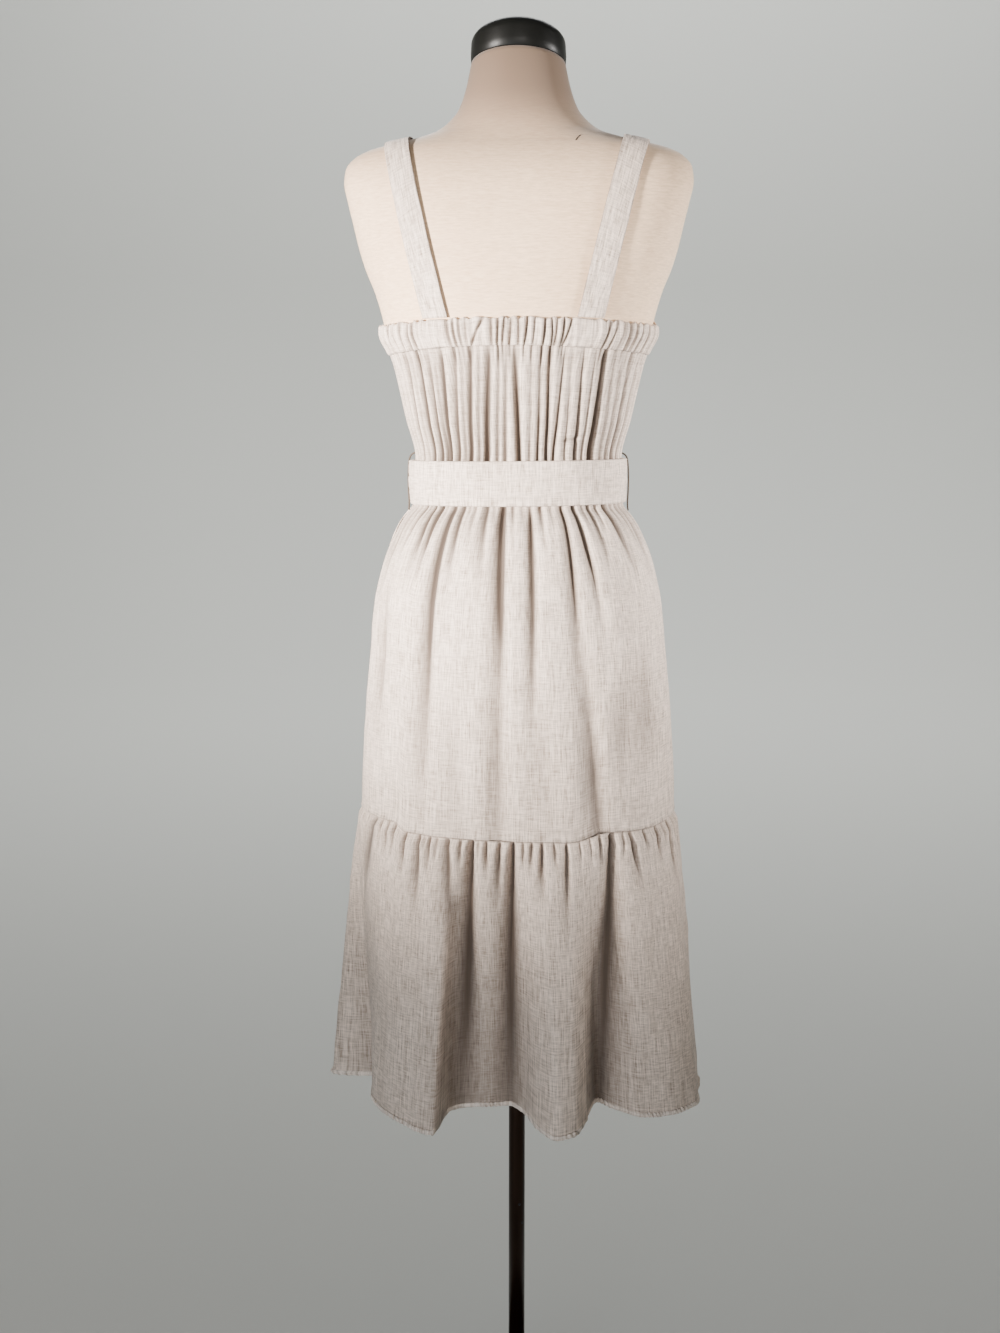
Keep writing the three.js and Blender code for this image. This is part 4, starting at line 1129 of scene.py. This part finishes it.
def add_tier(name, node, start, end, columns, rows, cut):
    def face(u, v):
        angle = between(start + 0.08, end - 0.08, u)
        fallen = 1 - v
        drop = 0.5 * fallen + 0.5 * fallen ** 2
        z = between(read_seam("z", angle) - SEAM_GAP, hem_line(angle), drop)
        return tier_face(angle, z)

    def hem_face(u, v):
        angle = between(start + 0.08, end - 0.08, u)
        phase = u * HEM_PUCKERS * 2 * math.pi + 0.9 * math.sin(u * 57)
        uneven = 0.6 + 0.4 * math.sin(u * 83 + 1)
        twist = math.sin(phase + v * 2.4) * uneven
        z = hem_line(angle) + HEM_DEPTH * v - 0.0008 + 0.0006 * twist
        bulge = math.sin(math.pi * min(max(v, 0.0), 1.0)) ** 0.6
        point, _ = tier_face(angle, z, 0.0003 + 0.0015 * bulge + 0.0010 * twist * bulge)
        # The second value is painted shade where the rolled hem twists inward
        return point, 0.5 * max(-twist, 0) ** 2

    piece = thicken(cloth_sheet(name, columns, rows, cut, face), CLOTH_THICKNESS)
    finish_piece(piece, linen, "linen", node)
    hem_cut = (cut[0], HEM_DEPTH)
    hem = thicken(cloth_sheet(name + "_hem", 900, 6, hem_cut, hem_face), HEM_THICKNESS)
    finish_piece(hem, hem_linen_painted_highlight, "linen")


add_tier("back_tier", "tier_back", -90, 90, 540, 84, (0.86, 0.35))
add_tier("front_tier", "tier_front", 90, 270, 330, 62, (0.86, 0.35))


# Belt
# A strip of the same linen, folded to 5 cm and topstitched along both edges. It goes once
# round the waist, and its outer end is lapped over the inner one in front.
BELT_BOTTOM = 1.163
BELT_WALL = 0.003
BELT_START = -190
BELT_END = 205
BELT_RISE = 25
BELT_STITCH = 0.44
BELT_EASE = SEAM_GAP + 0.0001
BELT_LAP_EASE = 0.0005


def belt_face(angle, v, lift=0.0):
    lap = smoothstep(angle, BELT_START + 360 - BELT_RISE, BELT_START + 360)
    out = BELT_EASE + BELT_WALL + lap * (BELT_WALL + BELT_LAP_EASE) + lift
    z = between(BELT_BOTTOM, BELT_TOP, v) + 0.0012 * math.sin(math.radians(angle))
    point = cloth_point(angle, WAIST_HEIGHT, out)
    point.z = z
    return point


def add_belt():
    cut = (0.74, 0.052)

    def face(u, v):
        angle = between(BELT_START, BELT_END, u)
        border = smoothstep(abs(v - 0.5), 0.465, 0.5)
        stitched = 0.0004 * bell((abs(v - 0.5) - BELT_STITCH) / 0.02)
        hollow = 0.0009 * bell((v - 0.5) / 0.3) * math.sin(angle * 0.031 + 1)
        pressed = 0.0007 * bell((v - 0.63 - 0.03 * math.sin(angle * 0.05)) / 0.035)
        pressed += 0.0006 * bell((v - 0.36 - 0.04 * math.sin(angle * 0.04 + 2)) / 0.03)
        waves = 0.0007 * math.sin(angle * 0.17) * math.sin(angle * 0.05 + v * 3)
        return belt_face(angle, v, waves - hollow - pressed - stitched - 0.001 * border), 0

    piece = thicken(cloth_sheet("waist_belt", 420, 34, cut, face), BELT_WALL - 0.0004)
    finish_piece(piece, linen, "linen", "belt")
    places = steps(0.004, 0.996, cut[0])
    stitched_rows("belt_stitches", [
        [face(u, 0.5 - BELT_STITCH)[0] for u in places],
        [face(u, 0.5 + BELT_STITCH)[0] for u in places],
    ])


add_belt()


# Belt loops
# A worked thread loop at each side seam, about 2 mm thick, that carries the belt. It is
# sewn in above and below the belt and stands a little off it.
LOOP_RADIUS = 0.001
LOOP_TOP = 1.221
LOOP_BOTTOM = 1.154


def loop_route(side):
    belt_x = abs(belt_face(90, 0.5).x) + LOOP_RADIUS
    upper_x = abs(cloth_point(90, LOOP_TOP).x) + LOOP_RADIUS
    lower_x = abs(cloth_point(90, LOOP_BOTTOM).x) + LOOP_RADIUS
    route = [
        (upper_x + 0.001, LOOP_TOP),
        (belt_x - 0.0015, 1.219),
        (belt_x + 0.0004, 1.212),
        (belt_x + 0.0014, 1.188),
        (belt_x + 0.0004, 1.166),
        (lower_x - 0.0008, 1.159),
        (lower_x + 0.0003, LOOP_BOTTOM),
    ]
    return [Vector((side * x, 0, z)) for x, z in route]


# The loops' thread is darkened to near black: painted shade for the shadow it sits in beside the belt
thread = plain_material("loop_thread_painted_shade", (0.075, 0.052, 0.036), 0.8)
left_loop = thread_piece("thread_loop_left", loop_route(-1), LOOP_RADIUS)
finish_piece(left_loop, thread, "linen", "belt_loop_left")
right_loop = thread_piece("thread_loop_right", loop_route(1), LOOP_RADIUS)
finish_piece(right_loop, thread, "linen", "belt_loop_right")
